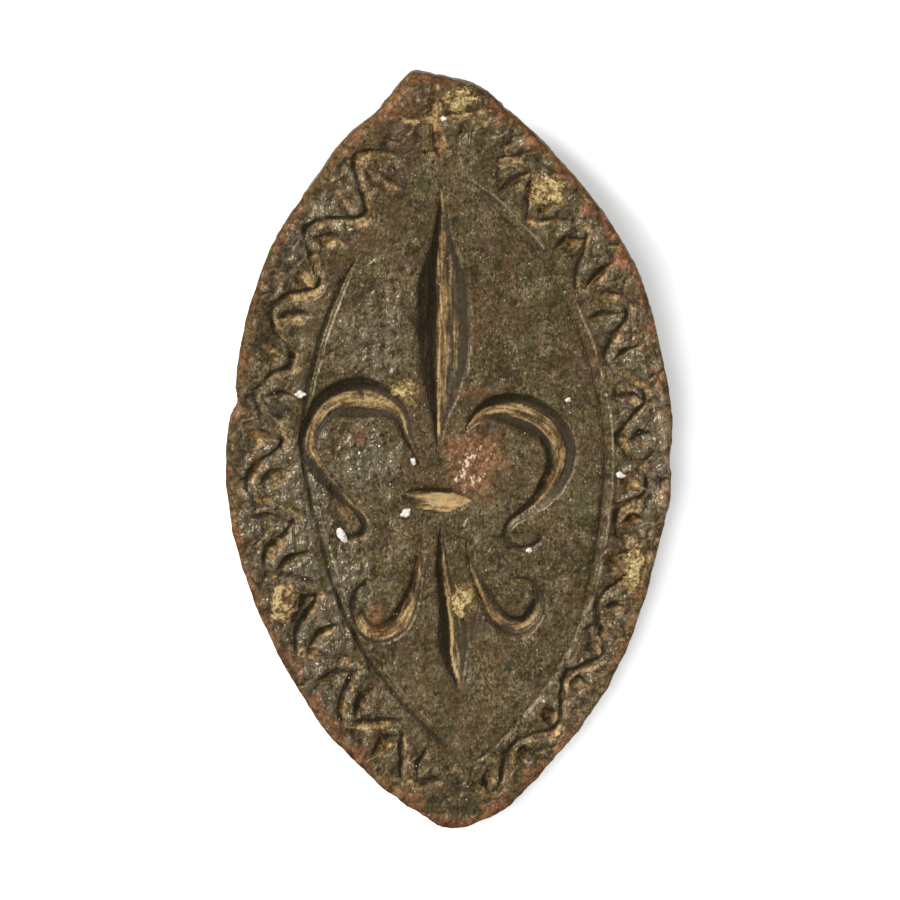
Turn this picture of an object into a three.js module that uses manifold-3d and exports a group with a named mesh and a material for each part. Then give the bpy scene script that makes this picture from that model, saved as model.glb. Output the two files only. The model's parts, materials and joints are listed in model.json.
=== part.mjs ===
import * as THREE from "three";
import { mergeVertices } from "three/addons/utils/BufferGeometryUtils.js";
import Module from "manifold-3d";

// A seal matrix: a pointed oval die of copper alloy with a lily cut into its face.
// A ridge and a pierced lug stand on its back, and earth and lime cling to its face.
// Lengths are millimetres. The die is drawn face up, its face at z = 0 and its apex at +Y,
// and the whole is then tipped about X as it lies on a table, on the lug and the lower tip.

// Driving dimensions of the die
const plateLength = 39.9;
const plateWidth = 23.5;
const plateThickness = 3.1;
const rimRounding = 0.6; // the worn edge, front and back
const seatGap = 0.02; // between pieces that are soldered or stuck to each other
const overrun = 0.15; // how far a cutting solid stands above the face

// Depths of the cuts
const petalDepth = 1.0;
const sidePetalDepth = 0.7;
const bandDepth = 0.6;
const tailDepth = 0.75;
const tailHookDepth = 0.45;
const crossDepth = 0.28;
const borderDepth = 0.2;
const borderHalfWidth = 0.2;

// The vine scroll that runs round the border
const rimMargin = 0.75; // plain metal between the scroll and the edge
const lineMargin = 0.25; // plain metal between the scroll and the border line
const stemHalfWidth = 0.17;
const stemDepth = 0.2;
const leafHalfWidth = 0.36;
const leafDepth = 0.42;

// The lug, pierced for a cord, and the ridge that runs down from it
const lugRadius = 2.2;
const lugStem = 1.8; // straight part between the back and the round head
const lugThickness = 2.6;
const lugEdge = 0.25;
const eyeRadius = 0.9;
const ridgeWidth = 3.4;
const ridgeLowHeight = 0.25;
const ridgeHighHeight = 2.3;
const solderSize = 0.55;

// What clings to the face
const crustLength = 2.2;
const crustHeight = 0.28;
const plugHeight = 0.5;
const speckLength = 0.55;
const speckHeight = 0.2;

const halfLength = plateLength / 2;
const halfWidth = plateWidth / 2;
const backZ = -plateThickness;

// Counts
const outlineSteps = 2; // along each stretch of the outline between two points
const borderSteps = 2;
const roundingSteps = 2;
const hookSteps = 2;
const lensSteps = 1;
const halfWaves = 17; // of the scroll, down each side
const stepsPerHalfWave = 5;
const leafSteps = 4;
const lugSteps = 10;
const domeSides = 9;

// Outline, as shares of the half width and half length, clockwise from the apex
const outlineShares = [
  [-0.165, 1.0], [-0.04, 0.99], [0.094, 0.971], [0.18, 0.945], [0.25, 0.905],
  [0.339, 0.863], [0.469, 0.784], [0.589, 0.706], [0.692, 0.627], [0.777, 0.548],
  [0.848, 0.469], [0.897, 0.39], [0.96, 0.233], [1.0, 0.085], [0.99, -0.02],
  [0.991, -0.122], [0.96, -0.201], [0.893, -0.359], [0.804, -0.516], [0.661, -0.674],
  [0.563, -0.753], [0.446, -0.832], [0.326, -0.911], [0.214, -0.963], [0.031, -1.0],
  [-0.05, -0.993], [-0.12, -0.965], [-0.263, -0.911], [-0.406, -0.832], [-0.54, -0.753],
  [-0.634, -0.674], [-0.786, -0.516], [-0.897, -0.359], [-0.973, -0.201], [-1.0, -0.043],
  [-0.978, 0.091], [-0.95, 0.128], [-0.956, 0.18], [-0.906, 0.351], [-0.817, 0.509],
  [-0.75, 0.587], [-0.661, 0.666], [-0.567, 0.745], [-0.469, 0.824], [-0.33, 0.892],
  [-0.254, 0.947],
];

// The single line round the field, clockwise from its top
const borderShares = [
  [-0.009, 0.727], [0.183, 0.666], [0.317, 0.587], [0.429, 0.509], [0.54, 0.39],
  [0.629, 0.259], [0.683, 0.127], [0.705, -0.004], [0.688, -0.162], [0.643, -0.319],
  [0.585, -0.451], [0.473, -0.582], [0.339, -0.687], [0.214, -0.771], [0.094, -0.819],
  [-0.04, -0.761], [-0.241, -0.635], [-0.375, -0.53], [-0.487, -0.393], [-0.567, -0.24],
  [-0.629, -0.083], [-0.656, 0.035], [-0.638, 0.141], [-0.594, 0.259], [-0.522, 0.39],
  [-0.424, 0.506], [-0.286, 0.614], [-0.152, 0.685],
];

// The lily's cuts: place, and half width as a share of the half width of the die
const petalShares = [
  [-0.033, 0.7, 0.007], [-0.031, 0.627, 0.03], [-0.033, 0.548, 0.06], [-0.031, 0.456, 0.11],
  [-0.027, 0.364, 0.125], [-0.025, 0.272, 0.122], [-0.033, 0.18, 0.09], [-0.042, 0.101, 0.042],
  [-0.047, 0.049, 0.02], [-0.047, -0.004, 0.006],
];
const leftPetalShares = [
  [-0.121, -0.041, 0.007], [-0.156, 0.007, 0.018], [-0.188, 0.049, 0.022], [-0.214, 0.096, 0.04],
  [-0.281, 0.13, 0.076], [-0.397, 0.146, 0.098], [-0.496, 0.138, 0.085], [-0.567, 0.112, 0.067],
  [-0.616, 0.062, 0.049], [-0.625, 0.009, 0.038], [-0.58, -0.043, 0.036], [-0.513, -0.093, 0.029],
  [-0.446, -0.135, 0.022], [-0.393, -0.167, 0.02], [-0.371, -0.196, 0.018], [-0.397, -0.222, 0.02],
  [-0.446, -0.227, 0.02], [-0.487, -0.212, 0.018], [-0.504, -0.188, 0.009],
];
const rightPetalShares = [
  [0.076, 0.064, 0.009], [0.129, 0.099, 0.031], [0.196, 0.117, 0.058], [0.286, 0.114, 0.08],
  [0.384, 0.093, 0.085], [0.46, 0.057, 0.076], [0.496, 0.012, 0.069], [0.487, -0.041, 0.062],
  [0.446, -0.091, 0.054], [0.388, -0.133, 0.04], [0.33, -0.159, 0.027], [0.29, -0.175, 0.02],
  [0.259, -0.198, 0.018], [0.254, -0.227, 0.02], [0.281, -0.251, 0.02], [0.335, -0.254, 0.02],
  [0.384, -0.243, 0.018], [0.415, -0.219, 0.009],
];
const bandShares = [
  [-0.21, -0.109, 0.007], [-0.156, -0.117, 0.04], [-0.098, -0.122, 0.058], [-0.04, -0.125, 0.065],
  [0.022, -0.127, 0.054], [0.071, -0.127, 0.029], [0.107, -0.127, 0.007],
];
const tailShares = [
  [-0.036, -0.193, 0.009], [-0.036, -0.254, 0.022], [-0.027, -0.319, 0.036], [-0.004, -0.385, 0.049],
  [0.013, -0.451, 0.067], [0.018, -0.516, 0.069], [0.027, -0.569, 0.045], [0.04, -0.608, 0.02],
  [0.045, -0.64, 0.005],
];
const leftTailShares = [
  [-0.125, -0.209, 0.011], [-0.129, -0.267, 0.018], [-0.143, -0.319, 0.025], [-0.161, -0.367, 0.033],
  [-0.192, -0.414, 0.045], [-0.232, -0.453, 0.049], [-0.299, -0.477, 0.045], [-0.362, -0.472, 0.04],
  [-0.402, -0.438, 0.038], [-0.415, -0.398, 0.033], [-0.406, -0.364, 0.025], [-0.371, -0.348, 0.011],
];
const rightTailShares = [
  [0.076, -0.24, 0.009], [0.094, -0.288, 0.018], [0.125, -0.335, 0.027], [0.165, -0.382, 0.036],
  [0.21, -0.427, 0.042], [0.263, -0.456, 0.047], [0.321, -0.459, 0.047], [0.371, -0.435, 0.042],
  [0.397, -0.398, 0.036], [0.388, -0.364, 0.029], [0.348, -0.34, 0.022], [0.29, -0.332, 0.011],
];

// The cross at the apex: its upright, its arms and its foot
const crossShares = [
  [[-0.058, 0.945, 0.016], [-0.054, 0.882, 0.022], [-0.045, 0.824, 0.025], [-0.049, 0.779, 0.03]],
  [[-0.196, 0.871, 0.016], [-0.058, 0.869, 0.02], [0.129, 0.879, 0.013]],
  [[-0.121, 0.779, 0.013], [-0.054, 0.777, 0.018], [0.0, 0.784, 0.013]],
];

// Shares of a cut's own size
const softFloorShare = 0.45;
const sharpFloorShare = 0.12;
const tipShare = 0.12;

// The scroll: where it starts and ends on each side, in degrees about that side's arc centre
const scrollTopDegrees = 48;
const scrollBottomDegrees = -56;
const scrollMiddleShare = 0.5;
const stemSwingShare = 0.34;
const leafRootShare = 0.44;
const leafTipShare = 0.24;
const leafLeanShare = 0.12; // of a half wave

// The lug's place, and the ridge's lower end and section
const lugPlaceShare = 0.79;
const ridgeEndShare = -0.76;
const ridgeTaperShare = 0.55;
const ridgeStations = 6;
const ridgeSectionShares = [
  [-0.5, 0], [-0.34, 0.52], [-0.14, 1], [0.14, 1], [0.34, 0.52], [0.5, 0],
];
const solderSectionShares = [[0, 0], [1, 0], [0.42, 0.28], [0.2, 0.55], [0, 1]];

// Earth and lime: name, place, and length and breadth as shares of the kind's length, and turn in degrees
const crustShares = [
  ["earth_crust_apex", 0.027, 0.93, 0.8, 0.5, 10],
  ["earth_crust_shoulder", 0.442, 0.69, 1.0, 0.72, -50],
  ["earth_crust_petal", -0.196, 0.17, 0.6, 0.42, -20],
  ["earth_crust_tail", 0.058, -0.388, 0.72, 0.55, 80],
  ["earth_crust_flank", 0.828, -0.3, 1.0, 0.5, 75],
];
const plugShares = [-0.732, -0.398, 0.95, 0.52, 78];
const speckShares = [
  [-0.661, 0.156, 1.0, 0.65, 0], [-0.473, -0.227, 1.35, 0.75, -60], [-0.192, -0.159, 1.0, 0.8, 35],
  [0.766, -0.059, 1.0, 0.6, -15], [0.531, 0.141, 0.6, 0.45, 20], [0.357, -0.258, 0.62, 0.55, 0],
  [-0.158, -0.022, 0.78, 0.5, -70], [-0.022, 0.882, 0.6, 0.5, 0],
];
const domeShares = [[0, 0], [1, 0], [0.86, 0.55], [0.46, 0.92], [0, 1]];
const domeRoughShare = 0.14;
const domeLobes = 3;

// Materials
const metal = (color, roughness, metalness) =>
  new THREE.MeshStandardMaterial({ color, roughness, metalness });
const dieMetal = metal("#5d5340", 0.5, 0.6);
const backMetal = metal("#554c3b", 0.55, 0.6);
const lugMetal = metal("#5a4c37", 0.5, 0.65);
const solderMetal = metal("#77746a", 0.6, 0.5);
const earth = metal("#a08a55", 0.95, 0);
const lime = metal("#e6e1d4", 0.9, 0);

const wasm = await Module();
wasm.setup();

function solidOf(geometry) {
  const bare = geometry.clone();
  bare.deleteAttribute("normal");
  bare.deleteAttribute("uv");
  const merged = mergeVertices(bare);
  return new wasm.Manifold(
    new wasm.Mesh({
      numProp: 3,
      vertProperties: merged.attributes.position.array,
      triVerts: new Uint32Array(merged.index.array),
    }),
  );
}

function geometryOf(solid) {
  const mesh = solid.getMesh();
  const geometry = new THREE.BufferGeometry();
  geometry.setAttribute("position", new THREE.BufferAttribute(mesh.vertProperties, mesh.numProp));
  geometry.setIndex(new THREE.BufferAttribute(mesh.triVerts, 1));
  geometry.computeVertexNormals();
  return geometry;
}

// Joins rings of corners into one closed body, with both ends capped.
function loft(rings) {
  const sides = rings[0].length;
  const positions = rings.flat().flatMap((corner) => corner.toArray());
  const faces = [];
  for (let ring = 0; ring + 1 < rings.length; ring += 1) {
    for (let side = 0; side < sides; side += 1) {
      const next = (side + 1) % sides;
      const a = ring * sides + side;
      const b = ring * sides + next;
      faces.push(a, a + sides, b, b, a + sides, b + sides);
    }
  }
  const last = (rings.length - 1) * sides;
  for (let side = 1; side + 1 < sides; side += 1) {
    faces.push(0, side, side + 1, last, last + side + 1, last + side);
  }
  const geometry = new THREE.BufferGeometry();
  geometry.setAttribute("position", new THREE.Float32BufferAttribute(positions, 3));
  geometry.setIndex(faces);
  geometry.computeVertexNormals();
  return geometry;
}

// Curves on the face. Their z holds the half width of the cut there.
const onFace = ([x, y, half = 0]) =>
  new THREE.Vector3(x * halfWidth, y * halfLength, half * halfWidth);
const loopThrough = (shares) =>
  new THREE.CatmullRomCurve3(shares.map(onFace), true, "centripetal");
const strokeThrough = (shares) =>
  new THREE.CatmullRomCurve3(shares.map(onFace), false, "centripetal");

// A graver's cut along a curve: two corners above the face and two on its floor at each station.
function cutAlong(curve, steps, depth, floorShare) {
  const stations = curve.getPoints(steps);
  const widest = Math.max(...stations.map((station) => station.z));
  const flare = (overrun * (1 - floorShare) * widest) / depth;
  const rings = stations.map((station, index) => {
    const along = curve.getTangent(index / steps).setZ(0).normalize();
    const left = new THREE.Vector3(-along.y, along.x, 0);
    const corner = (reach, z) =>
      new THREE.Vector3(station.x, station.y, z).addScaledVector(left, reach);
    const floorZ = (-depth * station.z) / widest;
    const lip = station.z + flare;
    const floor = station.z * floorShare;
    return [corner(lip, overrun), corner(floor, floorZ), corner(-floor, floorZ), corner(-lip, overrun)];
  });
  return solidOf(loft(rings));
}

const strokeCut = (shares, stepsEach, depth, floorShare) =>
  cutAlong(strokeThrough(shares), (shares.length - 1) * stepsEach, depth, floorShare);

// The border line is cut in two halves that overlap where they meet.
function borderCuts() {
  const withWidth = borderShares.map(([x, y]) => [x, y, borderHalfWidth / halfWidth]);
  const middle = withWidth.length / 2;
  const right = withWidth.slice(0, middle + 1);
  const left = [...withWidth.slice(middle), withWidth[0]];
  return [right, left].map((half) => strokeCut(half, borderSteps, borderDepth, sharpFloorShare));
}

// The two arcs of the pointed oval: each side is laid out from the centre of its own arc.
const arcRadius = (halfLength ** 2 + halfWidth ** 2) / plateWidth;
const arcOffset = arcRadius - halfWidth;
const outlineCurve = loopThrough(outlineShares);
const outlineLine = outlineCurve.getPoints(outlineShares.length * outlineSteps).slice(1);
const borderLine = loopThrough(borderShares).getPoints(borderShares.length * borderSteps).slice(1);

// How far a ray runs from a point on the X axis to a closed line.
function reachTo(line, startX, ray) {
  let far = 0;
  line.forEach((a, index) => {
    const b = line[(index + 1) % line.length];
    const edge = new THREE.Vector2(b.x - a.x, b.y - a.y);
    const turn = ray.cross(edge);
    const offset = new THREE.Vector2(a.x - startX, a.y);
    const share = offset.cross(ray) / turn;
    if (share >= 0 && share <= 1) far = Math.max(far, offset.cross(edge) / turn);
  });
  return far;
}

// A place in the border: side is 1 on the right, and across runs from the line at 0 to the rim at 1.
function bandPlace(side, degrees, across, half) {
  const angle = THREE.MathUtils.degToRad(degrees);
  const ray = new THREE.Vector2(side * Math.cos(angle), Math.sin(angle));
  const startX = -side * arcOffset;
  const inner = reachTo(borderLine, startX, ray) + borderHalfWidth + lineMargin;
  const outer = reachTo(outlineLine, startX, ray) - rimMargin;
  const reach = THREE.MathUtils.lerp(inner, outer, across);
  return new THREE.Vector3(startX + ray.x * reach, ray.y * reach, half);
}

// One side's scroll: a waving stem, and a leaf in each hollow of it.
function scrollCuts(side) {
  const stepDegrees = (scrollBottomDegrees - scrollTopDegrees) / halfWaves;
  const place = (wave, across, half) =>
    bandPlace(side, scrollTopDegrees + stepDegrees * wave, across, half);
  const stemPoints = [];
  for (let step = 0; step <= halfWaves * stepsPerHalfWave; step += 1) {
    const wave = step / stepsPerHalfWave;
    const across = scrollMiddleShare + stemSwingShare * Math.sin(Math.PI * wave);
    stemPoints.push(place(wave, across, stemHalfWidth));
  }
  const stem = new THREE.CatmullRomCurve3(stemPoints, false, "centripetal");
  const cuts = [cutAlong(stem, stemPoints.length - 1, stemDepth, sharpFloorShare)];
  for (let leaf = 0; leaf < halfWaves; leaf += 1) {
    const away = leaf % 2 ? 1 : -1;
    const wave = leaf + 1 / 2;
    const points = [
      place(wave - leafLeanShare, scrollMiddleShare + away * leafRootShare, leafHalfWidth * tipShare),
      place(wave, scrollMiddleShare + (away * (leafRootShare - leafTipShare)) / 2, leafHalfWidth),
      place(wave + leafLeanShare, scrollMiddleShare - away * leafTipShare, leafHalfWidth * tipShare),
    ];
    const line = new THREE.CatmullRomCurve3(points, false, "centripetal");
    cuts.push(cutAlong(line, leafSteps, leafDepth, sharpFloorShare));
  }
  return cuts;
}

function makeDie() {
  const shape = new THREE.Shape(outlineLine.map((point) => new THREE.Vector2(point.x, point.y)));
  const body = new THREE.ExtrudeGeometry(shape, {
    depth: plateThickness - rimRounding - rimRounding,
    bevelThickness: rimRounding,
    bevelSize: rimRounding,
    bevelOffset: -rimRounding,
    bevelSegments: roundingSteps,
  });
  body.translate(0, 0, rimRounding - plateThickness);
  const cuts = [
    strokeCut(petalShares, lensSteps, petalDepth, sharpFloorShare),
    strokeCut(leftPetalShares, hookSteps, sidePetalDepth, softFloorShare),
    strokeCut(rightPetalShares, hookSteps, sidePetalDepth, softFloorShare),
    strokeCut(bandShares, lensSteps, bandDepth, softFloorShare),
    strokeCut(tailShares, lensSteps, tailDepth, sharpFloorShare),
    strokeCut(leftTailShares, hookSteps, tailHookDepth, softFloorShare),
    strokeCut(rightTailShares, hookSteps, tailHookDepth, softFloorShare),
    ...crossShares.map((line) => strokeCut(line, lensSteps, crossDepth, sharpFloorShare)),
    ...borderCuts(),
    ...scrollCuts(1),
    ...scrollCuts(-1),
  ];
  const cut = cuts.reduce((rest, cutter) => rest.subtract(cutter), solidOf(body));
  return geometryOf(cut);
}

// The lug stands on the back: a straight stem with a round head, pierced from side to side.
const lugY = lugPlaceShare * halfLength;
const lugBaseZ = backZ - seatGap;
const lugHeadZ = lugBaseZ - lugStem;
const cheekX = lugThickness / 2;

function makeLug() {
  const reach = lugRadius - lugEdge;
  const shape = new THREE.Shape();
  shape.moveTo(-reach, lugEdge);
  shape.lineTo(reach, lugEdge);
  shape.absarc(0, lugStem, reach, 0, Math.PI);
  shape.closePath();
  shape.holes.push(new THREE.Path().absarc(0, lugStem, eyeRadius + lugEdge, 0, 2 * Math.PI, true));
  const lug = new THREE.ExtrudeGeometry(shape, {
    depth: lugThickness - lugEdge - lugEdge,
    bevelThickness: lugEdge,
    bevelSize: lugEdge,
    bevelSegments: 1,
    curveSegments: lugSteps,
  });
  const alongPlate = new THREE.Vector3(0, 1, 0);
  const fromBack = new THREE.Vector3(0, 0, -1);
  const acrossPlate = new THREE.Vector3(-1, 0, 0);
  lug.translate(0, 0, lugEdge - cheekX);
  lug.applyMatrix4(new THREE.Matrix4().makeBasis(alongPlate, fromBack, acrossPlate));
  return lug.translate(0, lugY, lugBaseZ);
}

// The ridge grows from the lower end up to the lug.
function makeRidge() {
  const lowY = ridgeEndShare * halfLength;
  const highY = lugY - lugRadius - seatGap;
  const rings = [];
  for (let station = 0; station <= ridgeStations; station += 1) {
    const share = station / ridgeStations;
    const width = ridgeWidth * THREE.MathUtils.lerp(ridgeTaperShare, 1, share);
    const height = THREE.MathUtils.lerp(ridgeLowHeight, ridgeHighHeight, share);
    const y = THREE.MathUtils.lerp(lowY, highY, share);
    rings.push(
      ridgeSectionShares.map(([x, z]) => new THREE.Vector3(x * width, y, lugBaseZ - z * height)),
    );
  }
  return loft(rings);
}

// A hollow fillet of solder along each cheek of the lug.
function makeSolder(side) {
  const reach = lugRadius - lugEdge;
  const startX = cheekX + seatGap;
  const ring = (y) =>
    solderSectionShares.map(
      ([x, z]) => new THREE.Vector3(side * (startX + x * solderSize), y, lugBaseZ - z * solderSize),
    );
  return loft([ring(lugY + side * reach), ring(lugY - side * reach)]);
}

// A low dome with an uneven edge, for what clings to the face.
function makeDome(length, breadth, height, seed) {
  const profile = domeShares.map(([radius, z]) => new THREE.Vector2(radius, z));
  const dome = new THREE.LatheGeometry(profile, domeSides).rotateX(Math.PI / 2);
  const place = dome.attributes.position;
  for (let index = 0; index < place.count; index += 1) {
    const angle = Math.atan2(place.getY(index), place.getX(index));
    const swell = 1 + domeRoughShare * Math.sin(domeLobes * angle + seed);
    place.setXY(index, place.getX(index) * swell, place.getY(index) * swell);
  }
  return dome.scale(length / 2, breadth / 2, height);
}

const lying = new THREE.Group();

function addPiece(name, geometry, material) {
  const piece = new THREE.Mesh(geometry, material);
  piece.name = name;
  lying.add(piece);
  return piece;
}

function addDeposit(name, [x, y, long, broad, degrees], size, height, material, seed) {
  const dome = makeDome(size * long, size * broad, height, seed);
  const piece = addPiece(name, dome, material);
  piece.position.set(x * halfWidth, y * halfLength, seatGap);
  piece.rotation.z = THREE.MathUtils.degToRad(degrees);
}

addPiece("die_plate", makeDie(), dieMetal);
addPiece("handle_ridge", makeRidge(), backMetal);
addPiece("suspension_lug", makeLug(), lugMetal);
addPiece("solder_fillet_right", makeSolder(1), solderMetal);
addPiece("solder_fillet_left", makeSolder(-1), solderMetal);
crustShares.forEach(([name, ...share], index) =>
  addDeposit(name, share, crustLength, crustHeight, earth, index),
);
addDeposit("earth_plug", plugShares, crustLength, plugHeight, earth, crustShares.length);
speckShares.forEach((share, index) =>
  addDeposit(`lime_speck_${index + 1}`, share, speckLength, speckHeight, lime, index),
);

// It lies on the round head of the lug and on the back edge of the lower tip.
const tipY = rimRounding - halfLength;
const tipToHead = new THREE.Vector2(lugY - tipY, backZ - lugHeadZ);
lying.rotation.x = tipToHead.angle() + Math.asin(lugRadius / tipToHead.length());

// The origin is under the middle of the whole, on the table.
const sealMatrix = new THREE.Group();
sealMatrix.name = "seal_matrix";
sealMatrix.add(lying);
const box = new THREE.Box3().setFromObject(sealMatrix, true);
const middle = box.getCenter(new THREE.Vector3());
lying.position.set(-middle.x, -middle.y, -box.min.z);

export default sealMatrix;
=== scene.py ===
import json
import math

import bmesh
import bpy
import numpy as np
from mathutils import Matrix, Vector


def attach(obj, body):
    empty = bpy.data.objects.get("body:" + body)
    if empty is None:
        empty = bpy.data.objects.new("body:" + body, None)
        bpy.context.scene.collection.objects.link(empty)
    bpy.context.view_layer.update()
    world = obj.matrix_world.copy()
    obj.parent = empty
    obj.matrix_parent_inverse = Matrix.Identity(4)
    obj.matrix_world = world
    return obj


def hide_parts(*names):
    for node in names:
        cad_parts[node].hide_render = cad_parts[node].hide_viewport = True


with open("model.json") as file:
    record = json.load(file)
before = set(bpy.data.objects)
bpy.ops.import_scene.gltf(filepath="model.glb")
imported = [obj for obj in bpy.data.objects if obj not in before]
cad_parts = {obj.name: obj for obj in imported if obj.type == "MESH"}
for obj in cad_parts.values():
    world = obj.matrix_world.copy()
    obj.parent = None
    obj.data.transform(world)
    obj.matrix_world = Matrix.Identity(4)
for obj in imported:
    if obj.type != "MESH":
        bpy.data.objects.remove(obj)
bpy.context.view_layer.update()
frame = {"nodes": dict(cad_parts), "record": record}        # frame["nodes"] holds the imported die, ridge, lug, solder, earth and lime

# Shapes are drawn in millimetres with the die face up at z = 0 and its apex at +Y.
# layDown then tips each one and makes it metres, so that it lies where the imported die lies.
mm = 0.001
faceAxis = next(m["axis"] for m in frame["record"]["mounts"] if m["name"] == "engraved_face")
lean = Matrix.Rotation(math.atan2(-faceAxis[1], faceAxis[2]), 4, "X")
plateSpots = np.array([v.co for v in frame["nodes"]["die_plate"].data.vertices])
flatSpots = plateSpots @ np.array(lean.to_3x3())
low, high = flatSpots.min(0), flatSpots.max(0)
facePlace = Vector(((low[0] + high[0]) / 2, (low[1] + high[1]) / 2, high[2]))
layDown = lean @ Matrix.Translation(facePlace) @ Matrix.Scale(mm, 4)
halfWidth, halfLength, thickness = (high - low) / mm * (0.5, 0.5, 1)
print("frame read: die", round(2 * halfWidth, 2), "x", round(2 * halfLength, 2), "mm")


# Mesh helpers

def editMode():
    bpy.ops.object.mode_set(mode="EDIT")


def objectMode():
    bpy.ops.object.mode_set(mode="OBJECT")


def dropAll():                        # deselects every object, before a new piece is added
    bpy.ops.object.select_all(action="DESELECT")


def mark(kind=None, action="SELECT"):
    if kind:
        bpy.ops.mesh.select_mode(type=kind)
    bpy.ops.mesh.select_all(action=action)


def markOpenEdge():
    mark("EDGE")
    bpy.ops.mesh.region_to_loop()


def valuesOf(items, key, kind=float, width=1):
    values = np.empty(len(items) * width, kind)
    items.foreach_get(key, values)
    return values.reshape(-1, width) if width > 1 else values


def corners(mesh):
    return valuesOf(mesh.vertices, "co", width=3)


def placeCorners(mesh, spots):
    mesh.vertices.foreach_set("co", np.asarray(spots, float).ravel())
    mesh.update()


def saveShare(mesh, name, values):
    share = mesh.attributes.get(name) or mesh.attributes.new(name, "FLOAT", "POINT")
    share.data.foreach_set("value", np.asarray(values, np.float32))


def readShare(mesh, name):
    return valuesOf(mesh.attributes[name].data, "value", np.float32).astype(float)


def pickEdges(piece, test):           # selects the edges whose two ends pass the test
    editMode()
    mark("EDGE", "DESELECT")
    shape = bmesh.from_edit_mesh(piece.data)
    for edge in shape.edges:
        if test(*(corner.co for corner in edge.verts)):
            edge.select_set(True)
    shape.select_flush_mode()
    bmesh.update_edit_mesh(piece.data)


def pickCorners(piece, mask):
    editMode()
    mark("VERT", "DESELECT")
    objectMode()
    piece.data.vertices.foreach_set("select", np.asarray(mask, bool))
    editMode()


def deletePicked():                   # and what hangs loose after it
    bpy.ops.mesh.delete(type="VERT")
    mark()
    bpy.ops.mesh.delete_loose()


def started(name):                    # names the primitive that was just added
    piece = bpy.context.object
    piece.name = piece.data.name = name
    return piece


def setPlace():
    bpy.ops.object.transform_apply(location=True, rotation=True, scale=True)


def useModifier(piece, kind, **settings):
    objectMode()
    bpy.context.view_layer.objects.active = piece
    modifier = piece.modifiers.new(kind.lower(), kind)
    for key, value in settings.items():
        setattr(modifier, key, value)
    bpy.ops.object.modifier_apply(modifier=modifier.name)


def settle(piece, finish, slotName, *nodes, smooth=40):
    objectMode()
    dropAll()
    piece.select_set(True)
    bpy.context.view_layer.objects.active = piece
    setPlace()
    piece.data.transform(layDown)
    if smooth < 180:
        bpy.ops.object.shade_smooth_by_angle(angle=math.radians(smooth), keep_sharp_edges=False)
    else:
        bpy.ops.object.shade_smooth()
    piece.data.materials.clear()
    piece.data.materials.append(finish)
    piece.select_set(False)
    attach(piece, "root")
    if nodes:
        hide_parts(*nodes)
    print("made", piece.name, len(piece.data.polygons), "faces")


# Seeded noise from about -1 to 1, with bumps about "size" across

def grain(x, y, size, seed, octaves=1):
    turns = np.random.default_rng(seed).uniform(0, 2 * np.pi, (128, 128))
    total = np.zeros(np.shape(x))
    for octave in range(octaves):
        u = np.asarray(x) / size * 2 ** octave + 31.7 + 5.3 * octave
        v = np.asarray(y) / size * 2 ** octave + 17.2 + 9.1 * octave
        i, j = np.floor(u).astype(int), np.floor(v).astype(int)
        fu, fv = u - i, v - j
        su, sv = fu * fu * (3 - 2 * fu), fv * fv * (3 - 2 * fv)

        def pull(a, b):
            turn = turns[(i + a) % 128, (j + b) % 128]
            return np.cos(turn) * (fu - a) + np.sin(turn) * (fv - b)
        near = pull(0, 0) * (1 - su) + pull(1, 0) * su
        far = pull(0, 1) * (1 - su) + pull(1, 1) * su
        total += (near * (1 - sv) + far * sv) * 1.6 * 0.5 ** octave
    return total


def ease(value, start, end):          # 0 before start, 1 after end
    share = np.clip((np.asarray(value, float) - start) / (end - start), 0, 1)
    return share * share * (3 - 2 * share)


# Curves: rows of x, y and half width, all in millimetres

def curveThrough(points, closed=False, steps=8):
    points = np.asarray(points, float)
    if closed:
        padded = np.vstack([points[-1:], points, points[:2]])
    else:
        padded = np.vstack([2 * points[0] - points[1], points, 2 * points[-1] - points[-2]])
    share = np.linspace(0, 1, steps, endpoint=False)[:, None]
    rows = []
    for p0, p1, p2, p3 in zip(padded, padded[1:], padded[2:], padded[3:]):
        g0, g1, g2 = (max(math.dist(a[:2], b[:2]), 1e-6) ** 0.5 for a, b in ((p0, p1), (p1, p2), (p2, p3)))
        out = ((p1 - p0) / g0 - (p2 - p0) / (g0 + g1) + (p2 - p1) / g1) * g1
        back = ((p2 - p1) / g1 - (p3 - p1) / (g1 + g2) + (p3 - p2) / g2) * g1
        rows.append(p1 + out * share + (3 * (p2 - p1) - 2 * out - back) * share ** 2
                    + (2 * (p1 - p2) + out + back) * share ** 3)
    if not closed:
        rows.append(points[-1:])
    return np.vstack(rows)


def fromShares(shares):
    table = np.asarray(shares, float) / 1000
    half = table[:, 2] if table.shape[1] > 2 else np.zeros(len(table))
    return np.column_stack([table[:, 0] * halfWidth, table[:, 1] * halfLength, half * halfWidth])


def closeTo(line, x, y, reach):
    (lowX, lowY), (highX, highY) = line[:, :2].min(0) - reach, line[:, :2].max(0) + reach
    return np.flatnonzero((x > lowX) & (x < highX) & (y > lowY) & (y < highY))


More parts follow.
